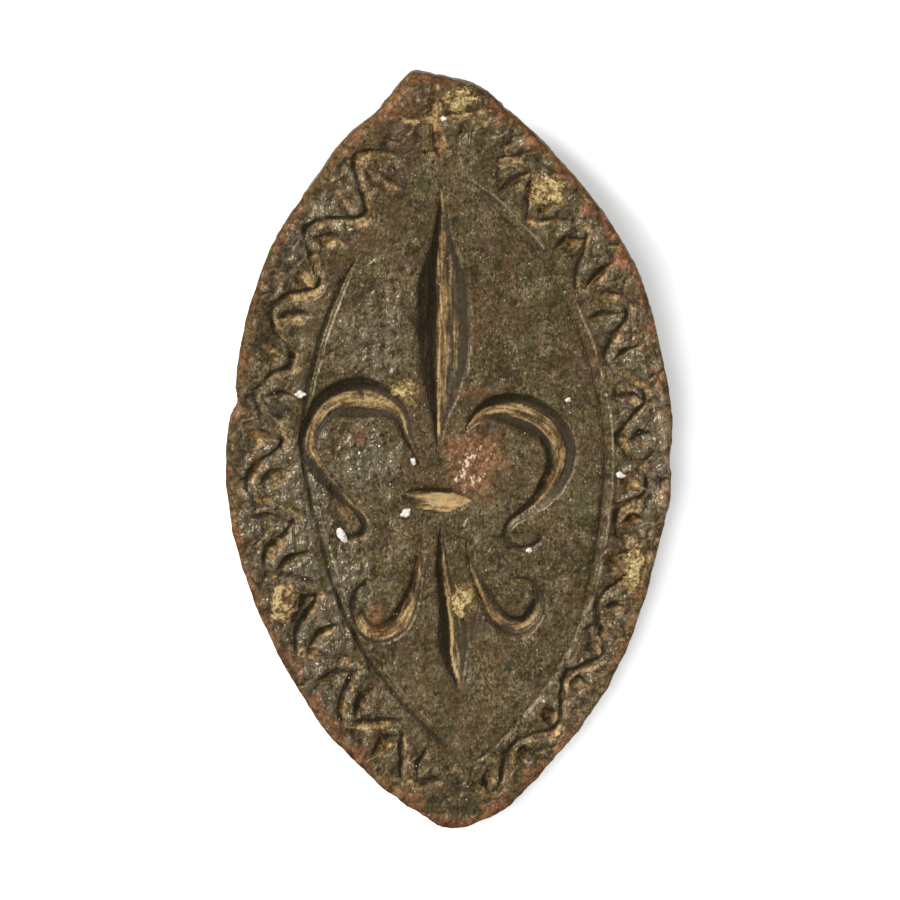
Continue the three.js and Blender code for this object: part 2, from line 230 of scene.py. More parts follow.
def nearest(line, x, y, reach):       # distance, side (+1 left of the way the line runs), half width, row number
    distance = np.full(x.shape, np.inf)
    side, half, row = np.ones(x.shape), np.zeros(x.shape), np.zeros(x.shape)
    for start in range(0, len(line) - 1, 8):
        part = line[start:start + 9]
        near = closeTo(part, x, y, reach)
        if not len(near):
            continue
        a, step = part[:-1], np.diff(part, axis=0)
        offX, offY = x[near, None] - a[:, 0], y[near, None] - a[:, 1]
        length = np.maximum((step[:, :2] ** 2).sum(1), 1e-12)
        share = np.clip((offX * step[:, 0] + offY * step[:, 1]) / length, 0, 1)
        gap = np.hypot(offX - share * step[:, 0], offY - share * step[:, 1])
        best = gap.argmin(1)
        at = np.arange(len(near))
        closer = gap[at, best] < distance[near]
        at, best, near = at[closer], best[closer], near[closer]
        distance[near] = gap[at, best]
        side[near] = np.sign(step[best, 0] * offY[at, best] - step[best, 1] * offX[at, best])
        half[near] = a[best, 2] + share[at, best] * step[best, 2]
        row[near] = start + best + share[at, best]
    return distance, side, half, row


# The die's outline and what is cut into its face

outline = {
    "shares": [           # thousandths of the half width and half length, clockwise from the apex
        (-165, 1000), (-40, 990), (94, 971), (180, 945), (250, 905), (339, 863), (469, 784), (589, 706),
        (692, 627), (777, 548), (848, 469), (897, 390), (960, 233), (1000, 85), (990, -20), (991, -122),
        (960, -201), (893, -359), (804, -516), (661, -674), (563, -753), (446, -832), (326, -911), (214, -963),
        (31, -1000), (-50, -993), (-120, -965), (-263, -911), (-406, -832), (-540, -753), (-634, -674),
        (-786, -516), (-897, -359), (-973, -201), (-1000, -43), (-978, 91), (-950, 128), (-956, 180),
        (-906, 351), (-817, 509), (-750, 587), (-661, 666), (-567, 745), (-469, 824), (-330, 892), (-254, 947),
    ],
    "rounding": 0.6,      # of the edge, front and back
    "chips": 0.09,        # how far the edge is eaten in
    "wallRoughness": 0.11,
}
borderShares = [          # the same, clockwise from the top of the border line
    (-9, 727), (183, 666), (317, 587), (429, 509), (540, 390), (629, 259), (683, 127), (705, -4), (688, -162),
    (643, -319), (585, -451), (473, -582), (339, -687), (214, -771), (94, -819), (-40, -761), (-241, -635),
    (-375, -530), (-487, -393), (-567, -240), (-629, -83), (-656, 35), (-638, 141), (-594, 259), (-522, 390),
    (-424, 506), (-286, 614), (-152, 685),
]

# Across a cut, in hundredths: place from its outer edge at -100 to its inner edge at 100, depth, earth on the
# floor, dark wall: dark patina and painted shade on the wall turned from the lamps
sections = {
    "blade": [(-100, 0, 0, 20), (-93, 12, 0, 70), (-60, 50, 0, 100), (-32, 92, 0, 100), (-24, 100, 10, 100),
              (-18, 95, 90, 30), (-8, 86, 100, 0), (3, 78, 90, 0), (10, 72, 45, 40), (50, 56, 32, 50),
              (58, 52, 10, 80), (68, 48, 0, 100), (88, 20, 0, 80), (100, 0, 0, 0)],
    "petal": [(-100, 0, 0, 30), (-90, 30, 0, 90), (-55, 95, 0, 100), (-36, 100, 10, 100), (-24, 90, 80, 10),
              (0, 72, 100, 0), (25, 60, 90, 0), (40, 58, 50, 50), (55, 66, 0, 100), (80, 45, 0, 100),
              (94, 12, 0, 50), (100, 0, 0, 0)],
    "ridge": [(-100, 0, 0, 30), (-80, 35, 0, 90), (-20, 85, 0, 100), (12, 100, 10, 100), (26, 85, 80, 20),
              (50, 60, 100, 0), (70, 60, 50, 30), (85, 40, 0, 100), (100, 0, 0, 20)],
    "shelf": [(-100, 0, 0, 0), (-85, 20, 0, 20), (-30, 55, 15, 25), (10, 80, 32, 25), (35, 100, 15, 100),
              (62, 75, 0, 100), (92, 10, 0, 50), (100, 0, 0, 0)],
    "curl": [(-100, 0, 0, 30), (-60, 60, 0, 90), (-15, 100, 0, 80), (20, 80, 25, 30), (60, 40, 35, 0),
             (90, 5, 0, 0), (100, 0, 0, 0)],
    "lens": [(-100, 0, 0, 40), (-88, 50, 0, 100), (-72, 92, 20, 70), (-55, 100, 100, 10), (30, 82, 110, 0),
             (70, 60, 90, 10), (86, 50, 20, 70), (100, 0, 0, 50)],
    "bowl": [(-100, 0, 0, 60), (-80, 45, 20, 80), (-55, 70, 90, 10), (-10, 90, 100, 0), (25, 100, 90, 10),
             (45, 90, 20, 90), (75, 60, 0, 100), (95, 10, 0, 70), (100, 0, 0, 0)],
    "hook": [(-100, 0, 0, 20), (-80, 40, 0, 60), (-50, 70, 50, 30), (-10, 85, 100, 0), (15, 95, 60, 30),
             (40, 100, 0, 100), (75, 70, 0, 100), (95, 10, 0, 70), (100, 0, 0, 0)],
    "groove": [(-100, 0, 0, 30), (-70, 60, 0, 100), (-35, 100, 10, 90), (-10, 95, 80, 10), (60, 50, 90, 0),
               (90, 10, 30, 0), (100, 0, 0, 0)],
    "blunt": [(-100, 0, 0, 60), (-85, 50, 10, 100), (-65, 90, 80, 30), (-20, 100, 100, 0), (80, 70, 100, 0),
              (100, 0, 20, 10)],
    "scratch": [(-100, 0, 0, 20), (-85, 40, 0, 70), (-65, 65, 0, 70), (-30, 62, 0, 30), (30, 52, 0, 0),
                (75, 33, 0, 0), (100, 0, 0, 0)],
    "furrow": [(-100, 0, 0, 40), (-75, 80, 0, 100), (-25, 100, 0, 100), (10, 80, 0, 60), (50, 40, 10, 0),
               (100, 0, 0, 0)],
}
# Rows of place and half width in thousandths. "inner" is 1 where the inner edge is left of the way the row
# runs, and the section changes at the shares of the row's length.
lily = {
    "petal": dict(sections=[(0, "blade")], depth=1.0, inner=1, lip=0.05, rows=[
        (-33, 700, 7), (-31, 627, 30), (-33, 548, 60), (-31, 456, 110), (-27, 364, 125), (-25, 272, 122),
        (-33, 180, 90), (-42, 101, 42), (-47, 49, 20), (-47, -4, 6)]),
    "leftPetal": dict(sections=[(0, "shelf"), (0.16, "petal"), (0.45, "petal"), (0.56, "ridge"), (0.78, "ridge"),
                                (0.86, "curl")], depth=0.75, inner=1, lip=0.03, rows=[
        (-121, -41, 7), (-156, 7, 18), (-188, 49, 26), (-214, 96, 40), (-281, 130, 76), (-397, 146, 98),
        (-496, 138, 85), (-567, 112, 67), (-616, 62, 50), (-627, 9, 44), (-583, -43, 42), (-513, -93, 36),
        (-446, -135, 28), (-393, -167, 25), (-371, -196, 27), (-397, -222, 28), (-446, -227, 28),
        (-487, -212, 24), (-504, -188, 9)]),
    "rightPetal": dict(sections=[(0, "petal"), (0.42, "petal"), (0.55, "shelf"), (0.7, "shelf"), (0.78, "curl")],
                       depth=0.75, inner=-1, lip=0.04, rows=[
        (76, 64, 9), (129, 99, 31), (196, 117, 58), (286, 114, 80), (384, 93, 85), (460, 57, 79), (496, 12, 73),
        (487, -41, 65), (446, -91, 56), (388, -133, 42), (330, -159, 30), (290, -175, 24), (259, -198, 22),
        (254, -227, 23), (281, -251, 23), (335, -254, 22), (384, -243, 18), (415, -219, 9)]),
    "band": dict(sections=[(0, "lens")], depth=0.48, inner=-1, lip=0.03, rows=[
        (-205, -109, 7), (-156, -117, 40), (-98, -122, 58), (-40, -125, 62), (22, -127, 50), (65, -127, 29),
        (95, -127, 7)]),
    "tail": dict(sections=[(0, "ridge"), (0.3, "blade")], depth=0.75, inner=1, lip=0.05, rows=[
        (-36, -193, 9), (-36, -254, 22), (-27, -319, 36), (-4, -385, 49), (13, -451, 67), (18, -516, 69),
        (27, -569, 45), (40, -608, 20), (45, -640, 5)]),
    "leftTail": dict(sections=[(0, "curl"), (0.2, "bowl"), (0.75, "bowl"), (0.85, "curl")],
                     depth=0.5, inner=-1, lip=0.03, rows=[
        (-125, -209, 11), (-129, -267, 18), (-143, -319, 25), (-161, -367, 35), (-192, -414, 47),
        (-232, -453, 50), (-299, -477, 47), (-362, -472, 42), (-402, -438, 40), (-415, -398, 35),
        (-406, -364, 27), (-371, -348, 11)]),
    "rightTail": dict(sections=[(0, "curl"), (0.2, "hook"), (0.7, "hook"), (0.8, "curl")],
                      depth=0.5, inner=1, lip=0.03, rows=[
        (76, -240, 9), (94, -288, 18), (125, -335, 27), (165, -382, 38), (210, -427, 45), (263, -456, 50),
        (321, -459, 50), (371, -435, 44), (397, -398, 38), (388, -364, 31), (348, -340, 24), (290, -332, 11)]),
    "crossUpright": dict(sections=[(0, "blunt")], depth=0.24, inner=1, lip=0.03, worn=0.12, rows=[
        (-60, 966, 18), (-64, 919, 20), (-60, 879, 20), (-52, 849, 26), (-41, 817, 34), (-40, 794, 28)]),
    "crossArms": dict(sections=[(0, "blunt")], depth=0.22, inner=-1, lip=0.03, worn=0.15, rows=[
        (-185, 881, 22), (-140, 879, 32), (-100, 880, 27), (-60, 880, 20), (0, 884, 24), (70, 891, 24),
        (130, 898, 17), (190, 906, 10)]),
    "crossFoot": dict(sections=[(0, "blunt")], depth=0.18, inner=-1, lip=0.02, worn=0.2, rows=[
        (-122, 786, 12), (-98, 789, 20), (-50, 792, 14), (-12, 795, 18), (12, 798, 8)]),
}
borderLine = {
    "depth": 0.2, "halfWidth": 0.3, "lip": 0.065, "evenLip": 0.35, "worn": 0.2,
    "sections": [(0, "scratch"), (0.48, "scratch"), (0.54, "furrow")],   # down the right side, then up the left
    "topFade": (0.42, 0.56, 0.92), "footFade": (0.3, 0.55, 0.45),   # start and end of the fading, and its share
    "topRun": 1.5,        # half of the stretch across the top and foot where its shaded edge changes sides
}
scroll = {
    "seed": 21,
    "halfWaves": 17, "steps": 5,              # down each side, and along each of them
    "topDegrees": 48, "bottomDegrees": -56,   # about the centre of that side's arc
    "rimMargin": 0.75, "lineMargin": 0.13,
    "stemHalfWidth": 0.34, "stemDepth": 0.33, "stemSwing": 0.34,
    "leafHalfWidth": 0.5, "leafDepth": 0.5, "leafRoot": 0.44, "leafTip": 0.24,
    "leafLean": 0.12, "leafPoint": 0.12,
    "lip": 0.03, "worn": 0.45,
    "unevenness": 0.06,   # of a leaf's place and size
}

outlineRows = curveThrough(fromShares(outline["shares"]), closed=True, steps=16)
outlineLoop = np.vstack([outlineRows, outlineRows[:1]])
borderRows = curveThrough(fromShares(borderShares), closed=True, steps=12)
borderLoop = np.vstack([borderRows, borderRows[:1]])

ahead = np.roll(outlineRows, -3, 0)[:, :2] - np.roll(outlineRows, 3, 0)[:, :2]
ahead /= np.linalg.norm(ahead, axis=1)[:, None]
outward = np.column_stack([-ahead[:, 1], ahead[:, 0]])      # the outline runs clockwise


def outlineAt(row, inset):            # a place "inset" inside the outline
    low = np.floor(row).astype(int)
    share = (row - low)[:, None]
    here, there = low % len(outlineRows), (low + 1) % len(outlineRows)
    place = outlineRows[here, :2] * (1 - share) + outlineRows[there, :2] * share
    away = outward[here] * (1 - share) + outward[there] * share
    return place - away * np.reshape(inset, (-1, 1)), away


def reachTo(loop, startX, ray):       # how far a ray from a point on the X axis runs to a loop
    step = np.diff(loop[:, :2], axis=0)
    turn = ray[0] * step[:, 1] - ray[1] * step[:, 0]
    offX, offY = loop[:-1, 0] - startX, loop[:-1, 1]
    share = (offX * ray[1] - offY * ray[0]) / turn
    far = (offX * step[:, 1] - offY * step[:, 0]) / turn
    return far[(share >= 0) & (share <= 1)].max()


arcRadius = (halfLength ** 2 + halfWidth ** 2) / (2 * halfWidth)
arcOffset = arcRadius - halfWidth


def bandPlace(side, wave, across, half):
    stepDegrees = (scroll["bottomDegrees"] - scroll["topDegrees"]) / scroll["halfWaves"]
    angle = math.radians(scroll["topDegrees"] + stepDegrees * wave)
    ray = (side * math.cos(angle), math.sin(angle))
    startX = -side * arcOffset
    inner = reachTo(borderLoop, startX, ray) + borderLine["halfWidth"] + scroll["lineMargin"]
    outer = reachTo(outlineLoop, startX, ray) - scroll["rimMargin"]
    reach = inner + (outer - inner) * across
    return (startX + ray[0] * reach, ray[1] * reach, half)


def scrollCuts(side, dice):
    jolt = lambda size=1.0: dice.uniform(-size, size) * scroll["unevenness"]
    stem = []
    for wave in np.arange(0, scroll["halfWaves"] + 0.01, 1 / scroll["steps"]):
        across = 0.5 + scroll["stemSwing"] * math.sin(math.pi * wave) + jolt(0.5)
        stem.append(bandPlace(side, wave, across, scroll["stemHalfWidth"] * (1 + jolt(4))))
    worn = dict(sections=[(0, "groove")], inner=1, lip=scroll["lip"], worn=scroll["worn"], faces=True)
    made = [dict(worn, line=curveThrough(stem, steps=3), depth=scroll["stemDepth"])]
    for leaf in range(scroll["halfWaves"]):
        away = 1 if leaf % 2 else -1
        wave = leaf + 0.5 + jolt()
        lean, half = scroll["leafLean"] + jolt(), scroll["leafHalfWidth"] * (1 + jolt(3))
        root, tip, point = scroll["leafRoot"], scroll["leafTip"], half * scroll["leafPoint"]
        rows = [
            bandPlace(side, wave - lean, 0.5 + away * (root + jolt()), point),
            bandPlace(side, wave, 0.5 + away * (root - tip) / 2 + jolt(), half),
            bandPlace(side, wave + lean, 0.5 - away * (tip + jolt()), point),
        ]
        depth = scroll["leafDepth"] * (1 + jolt(3))
        made.append(dict(worn, line=curveThrough(rows, steps=6), depth=depth))
    return made


cuts = [dict(cut, line=curveThrough(fromShares(cut["rows"]), steps=8)) for cut in lily.values()]
borderWidths = borderLoop.copy()
(topStart, topEnd, topFade), (footStart, footEnd, footFade) = borderLine["topFade"], borderLine["footFade"]
lineUp, onLeft = borderLoop[:, 1] / halfLength, borderLoop[:, 0] < 0
faded = topFade * ease(lineUp, topStart, topEnd) * onLeft
faded += footFade * ease(-lineUp, footStart, footEnd) * ~onLeft
borderWidths[:, 2] = borderLine["halfWidth"] * (1 - faded)
cuts.append(dict(borderLine, line=borderWidths, inner=1, faces=True))
scrollDice = np.random.default_rng(scroll["seed"])
cuts += scrollCuts(1, scrollDice) + scrollCuts(-1, scrollDice)
print("lines laid out:", len(cuts), "cuts")


# Relief of the face: height and the masks that the finish reads

relief = {
    "seed": 3,
    "sunk": 0.06,         # of the whole face under the CAD face, so that no lump stands out of it
    "swell": 0.07, "swellSize": 4.0,       # slow unevenness of the casting
    "lumps": 0.18, "lumpSize": 1.0, "lumpsReach": 3.4, "lumpsFade": 0.9,   # worn lumps of the border
    "creases": 0.12, "creaseSize": 1.25, "creaseWidth": 0.17, "creaseShift": 0.13,   # between the border's lumps
    "creasePatches": 1.9, "creaseDark": 0.8, "creaseEarth": 0.75,
    "pits": 0.05, "pitSize": 0.55,
    "tooth": 0.025, "toothSize": 0.24,
    "slips": 0.08, "slipSize": 0.42, "slipLength": 8,   # long scratches beside the left petal
}
carving = {
    "reach": 0.5,         # how far beyond a cut its lip is looked for
    "darkSide": (-0.75, 0.66),             # painted shade: a worn cut is painted darkest under its upper left edge, on the wall turned from the lamps
    "strokes": 0.05, "strokeSize": 0.17, "strokeLength": 9, "strokeDepth": 0.35,   # tool marks down a cut
    "patchSize": 1.1, "narrowing": 0.5, "shallowing": 1.2,   # worn stretches of a cut
    "depthShare": 0.75,   # how much of its depth goes where a cut gets narrower
    "clodWidth": 0.45, "clodLength": 5,    # the earth of a worn cut lies in clods, not in streaks
    "lipPlace": 1.06, "lipWidth": 0.11, "lipUnit": 0.04, "lipRise": 0.08, "lipGaps": 0.8, "fullLip": 0.3,
    "inkDepth": 0.12,     # a cut this deep has its full dark and earth
}
stains = {                # place as shares, half length and half breadth in mm, turn in degrees, strength
    "copper": [
        (0.105, -0.022, 2.3, 1.9, 70, 1.0), (0.06, 0.158, 0.7, 0.4, 20, 0.6), (0.145, 0.165, 0.5, 0.3, 0, 0.6),
        (-0.405, 0.045, 0.65, 0.5, 30, 0.6), (-0.263, 0.422, 0.4, 0.3, 0, 0.5),
        (-0.33, -0.425, 0.7, 0.5, 60, 0.8), (-0.27, -0.465, 1.3, 0.5, 10, 0.5),
        (-0.24, 0.915, 1.7, 0.9, 40, 0.7), (0.44, -0.07, 0.4, 0.3, 0, 0.6), (-0.045, 0.81, 0.8, 0.45, 90, 0.5),
        (-0.86, -0.01, 0.7, 0.3, 90, 0.6), (-0.46, -0.165, 0.5, 0.35, 0, 0.5), (0.83, 0.3, 1.4, 0.4, -65, 0.5)],
    # painted shadow: a dark ring round the earth plug, mostly on its right
    "plugShadow": [
        (-0.69, -0.405, 1.6, 1.15, 78, 1.0)],
    # bare: bare metal and pale earth; on the copper it places the painted glints
    "bare": [
        (-0.03, -0.124, 0.8, 0.4, 0, 1.0), (0.075, -0.025, 1.2, 0.5, 62, 1.0),
        (0.115, -0.07, 0.7, 0.35, 30, 0.9), (0.135, 0.01, 0.5, 0.35, 80, 0.7),
        (-0.31, -0.43, 0.4, 0.25, 60, 0.5), (-0.3, 0.93, 0.8, 0.3, 40, 0.5)],
    "green": [
        (-0.375, -0.03, 0.9, 0.5, 80, 0.9), (0.049, 0.614, 0.7, 0.4, 60, 0.6), (0.7, 0.33, 1.8, 0.9, -70, 0.7),
        (0.6, -0.12, 1.6, 0.8, 70, 0.7), (-0.42, -0.31, 0.6, 0.4, 0, 0.6), (0.4, 0.62, 1.6, 1.0, -45, 0.6),
        (0.47, -0.5, 1.8, 0.9, 50, 0.6), (-0.55, -0.09, 0.6, 0.3, 90, 0.5), (0.16, 0.86, 1.2, 0.7, -20, 0.5)],
    "sand": [
        (0.03, 0.93, 1.5, 0.9, 10, 0.6), (0.44, 0.69, 1.8, 1.1, -50, 0.6), (-0.19, 0.17, 1.2, 0.8, -20, 0.6),
        (0.06, -0.39, 1.3, 0.8, 80, 0.4), (0.83, -0.3, 1.7, 0.8, 75, 0.6), (0.853, -0.135, 0.5, 0.4, 0, 0.8),
        (0.78, -0.33, 0.7, 0.4, 60, 0.6), (-0.46, -0.155, 0.35, 0.3, 0, 0.7), (0.19, 0.87, 0.9, 0.4, 0, 0.6),
        (-0.11, 0.88, 0.5, 0.25, 0, 0.5), (0.76, 0.17, 0.7, 0.3, 10, 0.6), (0.44, -0.62, 0.5, 0.3, 40, 0.5),
        (-0.06, -0.88, 0.4, 0.3, 0, 0.7), (0.2, -0.8, 0.5, 0.3, 0, 0.5)],
    # ash: worn patches; most lie on the left, where they also paint the face paler with more glints, a painted
    # sheen
    "ash": [
        (-0.7, -0.25, 8.0, 2.2, 98, 0.75), (0.84, 0.05, 7.0, 1.5, 97, 0.6), (0.96, -0.05, 7.0, 0.6, 93, 0.9),
        (-0.6, -0.1, 4.4, 0.9, 84, 0.9), (-0.5, -0.48, 3.6, 1.3, 112, 0.8), (-0.36, -0.02, 2.0, 1.6, 0, 1.0),
        (-0.33, 0.3, 3.2, 1.9, 70, 0.68), (-0.82, -0.05, 5.5, 1.3, 88, 1.0), (-0.44, -0.38, 3.0, 1.2, 100, 0.9),
        (-0.55, -0.6, 3.6, 1.3, 120, 0.9), (0.13, -0.22, 1.2, 0.9, 0, 0.5), (0.86, 0.1, 5.0, 1.0, 97, 0.8),
        (0.55, 0.62, 3.2, 1.0, -45, 0.7), (0.62, -0.55, 4.0, 1.0, 55, 0.7), (-0.55, 0.6, 3.8, 1.3, 48, 0.9),
        (0.3, 0.83, 1.6, 0.6, -40, 0.5)],
}


def stainAt(kind, x, y, ragged=0.6):
    total = np.zeros(x.shape)
    for number, (right, up, length, breadth, turn, strength) in enumerate(stains[kind]):
        offX, offY = x - right * halfWidth, y - up * halfLength
        cos, sin = math.cos(math.radians(turn)), math.sin(math.radians(turn))
        far = np.hypot((offX * cos + offY * sin) / length, (offY * cos - offX * sin) / breadth)
        inside = 1.25 - far + ragged * grain(x, y, 0.9, 90 + number, 3)
        total = np.maximum(total, strength * ease(inside, 0, 0.9))
    return total


def fromSections(cut, share, column, place):   # a column of the cut's sections, blended along its length
    changes = [start for start, _ in cut["sections"]]
    total = np.zeros(place.shape)
    for turn, (_, name) in enumerate(cut["sections"]):
        table = np.array(sections[name]) / 100
        weight = np.interp(share, changes, np.eye(len(changes))[turn]) if len(changes) > 1 else 1
        total += weight * np.interp(place, table[:, 0], table[:, column])
    return total


def carveCut(number, cut, x, y, depth, earth, dark, lip, offset, length):   # adds one cut to the face's arrays
    line, age = cut["line"], cut.get("worn", 0)
    widest = line[:, 2].max()
    reach = widest + carving["reach"]
    near = closeTo(line, x, y, reach)
    if not len(near):
        return
    distance, side, half, row = nearest(line, x[near], y[near], reach)
    near, distance, side, half, row = (a[distance < reach] for a in (near, distance, side, half, row))
    patchy = grain(x[near], y[near], carving["patchSize"], number + 140, 2)
    uneven = 1 + 0.06 * grain(row, side, 5, number + 40) + carving["narrowing"] * age * patchy
    half = np.maximum(half * uneven, 0.01)
    across = side * distance / half * cut["inner"]
    share = row / (len(line) - 1)
    at = np.minimum(row.astype(int), len(line) - 2)
    way = line[at + 1, :2] - line[at, :2]
    way /= np.maximum(np.hypot(way[:, 0], way[:, 1]), 1e-9)[:, None]
    lookX, lookY = carving["darkSide"]
    toward = side * (way[:, 0] * lookY - way[:, 1] * lookX)   # 1 on the side that looks to the upper left
    if "topRun" in cut:               # painted shade: the border line is painted dark along its left edge, down both sides
        toward = -side * np.clip(x[near] / cut["topRun"], -1, 1)
    seen = -toward * distance / half if cut.get("faces") else across
    worn = 1 + 0.12 * grain(x[near], y[near], 2.5, 11) + carving["shallowing"] * age * patchy
    narrower = (half / widest) ** carving["depthShare"]
    cutDepth = cut["depth"] * narrower * np.clip(worn, 0.3, 1.5) * fromSections(cut, share, 1, across)
    along = row * math.dist(line[0, :2], line[1, :2])
    marks = grain(across * half, along / carving["strokeLength"], carving["strokeSize"], number + 70, 2)
    inside = np.abs(across) < 1
    cutDepth -= carving["strokes"] * marks * np.clip(cutDepth / carving["strokeDepth"], 0, 1) * inside
    deeper = cutDepth > depth[near]
    ruling = deeper | (depth[near] <= 0)
    clods = "worn" in cut
    offset[near] = np.where(ruling, across * half * (carving["clodWidth"] if clods else 1), offset[near])
    length[near] = np.where(ruling, along * (carving["clodLength"] if clods else 1) + 7.0 * number, length[near])
    depth[near] = np.maximum(depth[near], cutDepth)
    strength = np.clip(cutDepth / carving["inkDepth"], 0, 1) * inside
    # column 3 lays the dark: patina in the cut, and painted shade on the wall turned from the lamps
    soiled, shaded = (fromSections(cut, share, column, seen) for column in (2, 3))
    filled = np.clip(soiled * (1 - 0.8 * age) * (1 + 1.3 * marks) + 1.4 * patchy * age, 0, 1.2)
    earth[near] = np.where(deeper, filled * strength, earth[near])
    dark[near] = np.where(deeper, np.clip(shaded - 0.6 * marks * (soiled > 0.15), 0, 1) * strength, dark[near])
    # a raised lip, only on the side turned to the lamps; the finish paints a highlight along it
    rise = np.exp(-((distance - half * carving["lipPlace"]) / carving["lipWidth"]) ** 2)
    rise *= np.clip(half / carving["fullLip"], 0, 1) ** 2
    gaps = grain(x[near], y[near], carving["lipGaps"], number + 240, 2) + cut.get("evenLip", 0)
    rise *= ease(gaps, -0.25, 0.6)
    rise *= (row > 0) & (row < len(line) - 1)
    lip[near] = np.maximum(lip[near], rise * cut["lip"] / carving["lipUnit"] * ease(-toward, 0.1, 0.8))


def carveFace(x, y):                  # height, and the shares that the finish reads
    depth, earth, dark, lip, offset, length = (np.zeros(x.shape) for _ in range(6))
    for number, cut in enumerate(cuts):
        carveCut(number, cut, x, y, depth, earth, dark, lip, offset, length)
    lip *= 1 - ease(depth, 0.0, 0.08)
    seed = relief["seed"]
    edge, _, _, _ = nearest(outlineLoop, x, y, relief["lumpsReach"] + 0.5)
    rounding = outline["rounding"] * (1 + 0.3 * grain(x, y, 2.2, 5))
    inset = np.clip(rounding - edge, 0, rounding)
    drop = rounding - np.sqrt(np.maximum(rounding ** 2 - inset ** 2, 0))
    pits = ease(grain(x, y, relief["pitSize"], 8, 2), 0.42, 0.8)
    border = 1 - ease(edge, relief["lumpsReach"] - relief["lumpsFade"], relief["lumpsReach"])
    fold = lambda x, y: np.exp(-(grain(x, y, relief["creaseSize"], seed + 7, 2) / relief["creaseWidth"]) ** 2)
    shift = relief["creaseShift"]
    patches = ease(grain(x, y, relief["creasePatches"], seed + 8, 2), -0.45, 0.1)
    folded = border * patches * (1 - ease(depth, 0.05, 0.2))
    crease = fold(x, y)
    # painted shade and dark patina in the creases between the lumps
    dark = np.maximum(dark, relief["creaseDark"] * folded * crease)
    earth = np.maximum(earth, relief["creaseEarth"] * folded * fold(x - shift, y + shift) * (1 - crease))
    height = relief["swell"] * grain(x, y, relief["swellSize"], seed, 2)
    height -= relief["creases"] * folded * crease
    height += relief["lumps"] * border * grain(x, y, relief["lumpSize"], seed + 2, 2)
    height += relief["tooth"] * grain(x, y * 0.8, relief["toothSize"], seed + 1, 2)
    slips = grain(x + 0.12 * y, y / relief["slipLength"], relief["slipSize"], seed + 5, 2) * stainAt("ash", x, y)
    height += relief["slips"] * slips * (1 - border * 0.6)
    height -= relief["pits"] * pits
    height = height * (1 - 0.5 * ease(depth, 0, 0.2)) - relief["sunk"] - depth - drop + carving["lipRise"] * lip
    rim = 1 - ease(edge + 0.6 * grain(x, y, 1.1, 6, 3), 0.2, 1.0)
    shares = dict(earth=earth, dark=dark, lip=lip, rim=rim, pits=pits, edge=edge, slips=slips,
                  offset=offset, length=length)
    return np.minimum(height, 0.0), shares


# The die: a square grid trimmed to the outline for the face, its wall drawn out ring by ring, and a coarser back

die = {
    "step": 0.095, "backStep": 0.3,       # of the grids
    "faceInset": 0.3, "backInset": 0.8,   # of their trimmed edges
    "evening": 60, "relaxing": 12,        # rounds that even out the edge and the faces along it
    "rowLength": 0.144,                   # millimetres along the edge
    "faceDepth": 1.5,                     # the face's stains end above this
    "backRoughness": 0.03,
}


def insideOutline(x, y):
    inside = np.zeros(x.shape, bool)
    a, b = outlineLoop[:-1], outlineLoop[1:]
    for height in np.unique(y):
        cross = (a[:, 1] > height) != (b[:, 1] > height)
        where = a[cross, 0] + (height - a[cross, 1]) / (b[cross, 1] - a[cross, 1]) * (b[cross, 0] - a[cross, 0])
        row = y == height
        inside[row] = (where[:, None] < x[row]).sum(0) % 2 == 1
    return inside


def edgeLoop(mesh):                   # the corners of the open edge, in order
    ends = valuesOf(mesh.edges, "vertices", int, 2)
    links = {}
    for a, b in ends[valuesOf(mesh.edges, "select", bool)].tolist():
        links.setdefault(a, []).append(b)
        links.setdefault(b, []).append(a)
    start = next(iter(links))
    loop, last = [start], None
    while True:
        step = [n for n in links[loop[-1]] if n != last]
        last = loop[-1]
        if step[0] == start:
            return loop
        loop.append(step[0])


def trimmedSheet(name, step, inset):  # leaves the corners of its edge in order of the outline, in share "along"
    countX, countY = (2 * math.ceil(half / step) for half in (halfWidth, halfLength))
    dropAll()
    bpy.ops.mesh.primitive_grid_add(x_subdivisions=countX, y_subdivisions=countY, size=1)
    sheet = started(name)
    spots = np.round(corners(sheet.data) * (countX * step, countY * step, 1), 5)
    placeCorners(sheet.data, spots)
    x, y = spots[:, 0], spots[:, 1]
    edge, _, _, _ = nearest(outlineLoop, x, y, inset + 2 * step)
    pickCorners(sheet, ~(insideOutline(x, y) & (edge > inset + 0.45 * step)))
    deletePicked()
    markOpenEdge()
    objectMode()
    loop = edgeLoop(sheet.data)
    spots = corners(sheet.data)
    _, _, _, row = nearest(outlineLoop, spots[loop, 0], spots[loop, 1], inset + 4 * step)
    total = len(outlineRows)
    row = np.unwrap(row / total * 2 * np.pi) / (2 * np.pi) * total
    turn = round((row[-1] - row[0]) / total)
    for _ in range(die["evening"]):
        before, after = np.roll(row, 1), np.roll(row, -1)
        before[0] -= turn * total
        after[-1] += turn * total
        row = (before + 2 * row + after) / 4
    along = np.zeros(len(spots))
    along[loop] = row % total
    saveShare(sheet.data, "along", along)
    editMode()
    bpy.ops.mesh.extrude_edges_move()
    fresh = drawnOut(sheet, lambda row, spots: (outlineAt(row, inset)[0], 0))
    relaxSheet(sheet.data, fresh, inset + 4 * step)
    return sheet


def drawnOut(piece, rule):            # moves the corners that an extrude has just made, and keeps them selected
    objectMode()
    mesh = piece.data
    fresh = valuesOf(mesh.vertices, "select", bool)
    spots, row = corners(mesh), readShare(mesh, "along")[fresh]
    spots[fresh, :2], spots[fresh, 2] = rule(row, spots[fresh])
    placeCorners(mesh, spots)
    editMode()
    return fresh


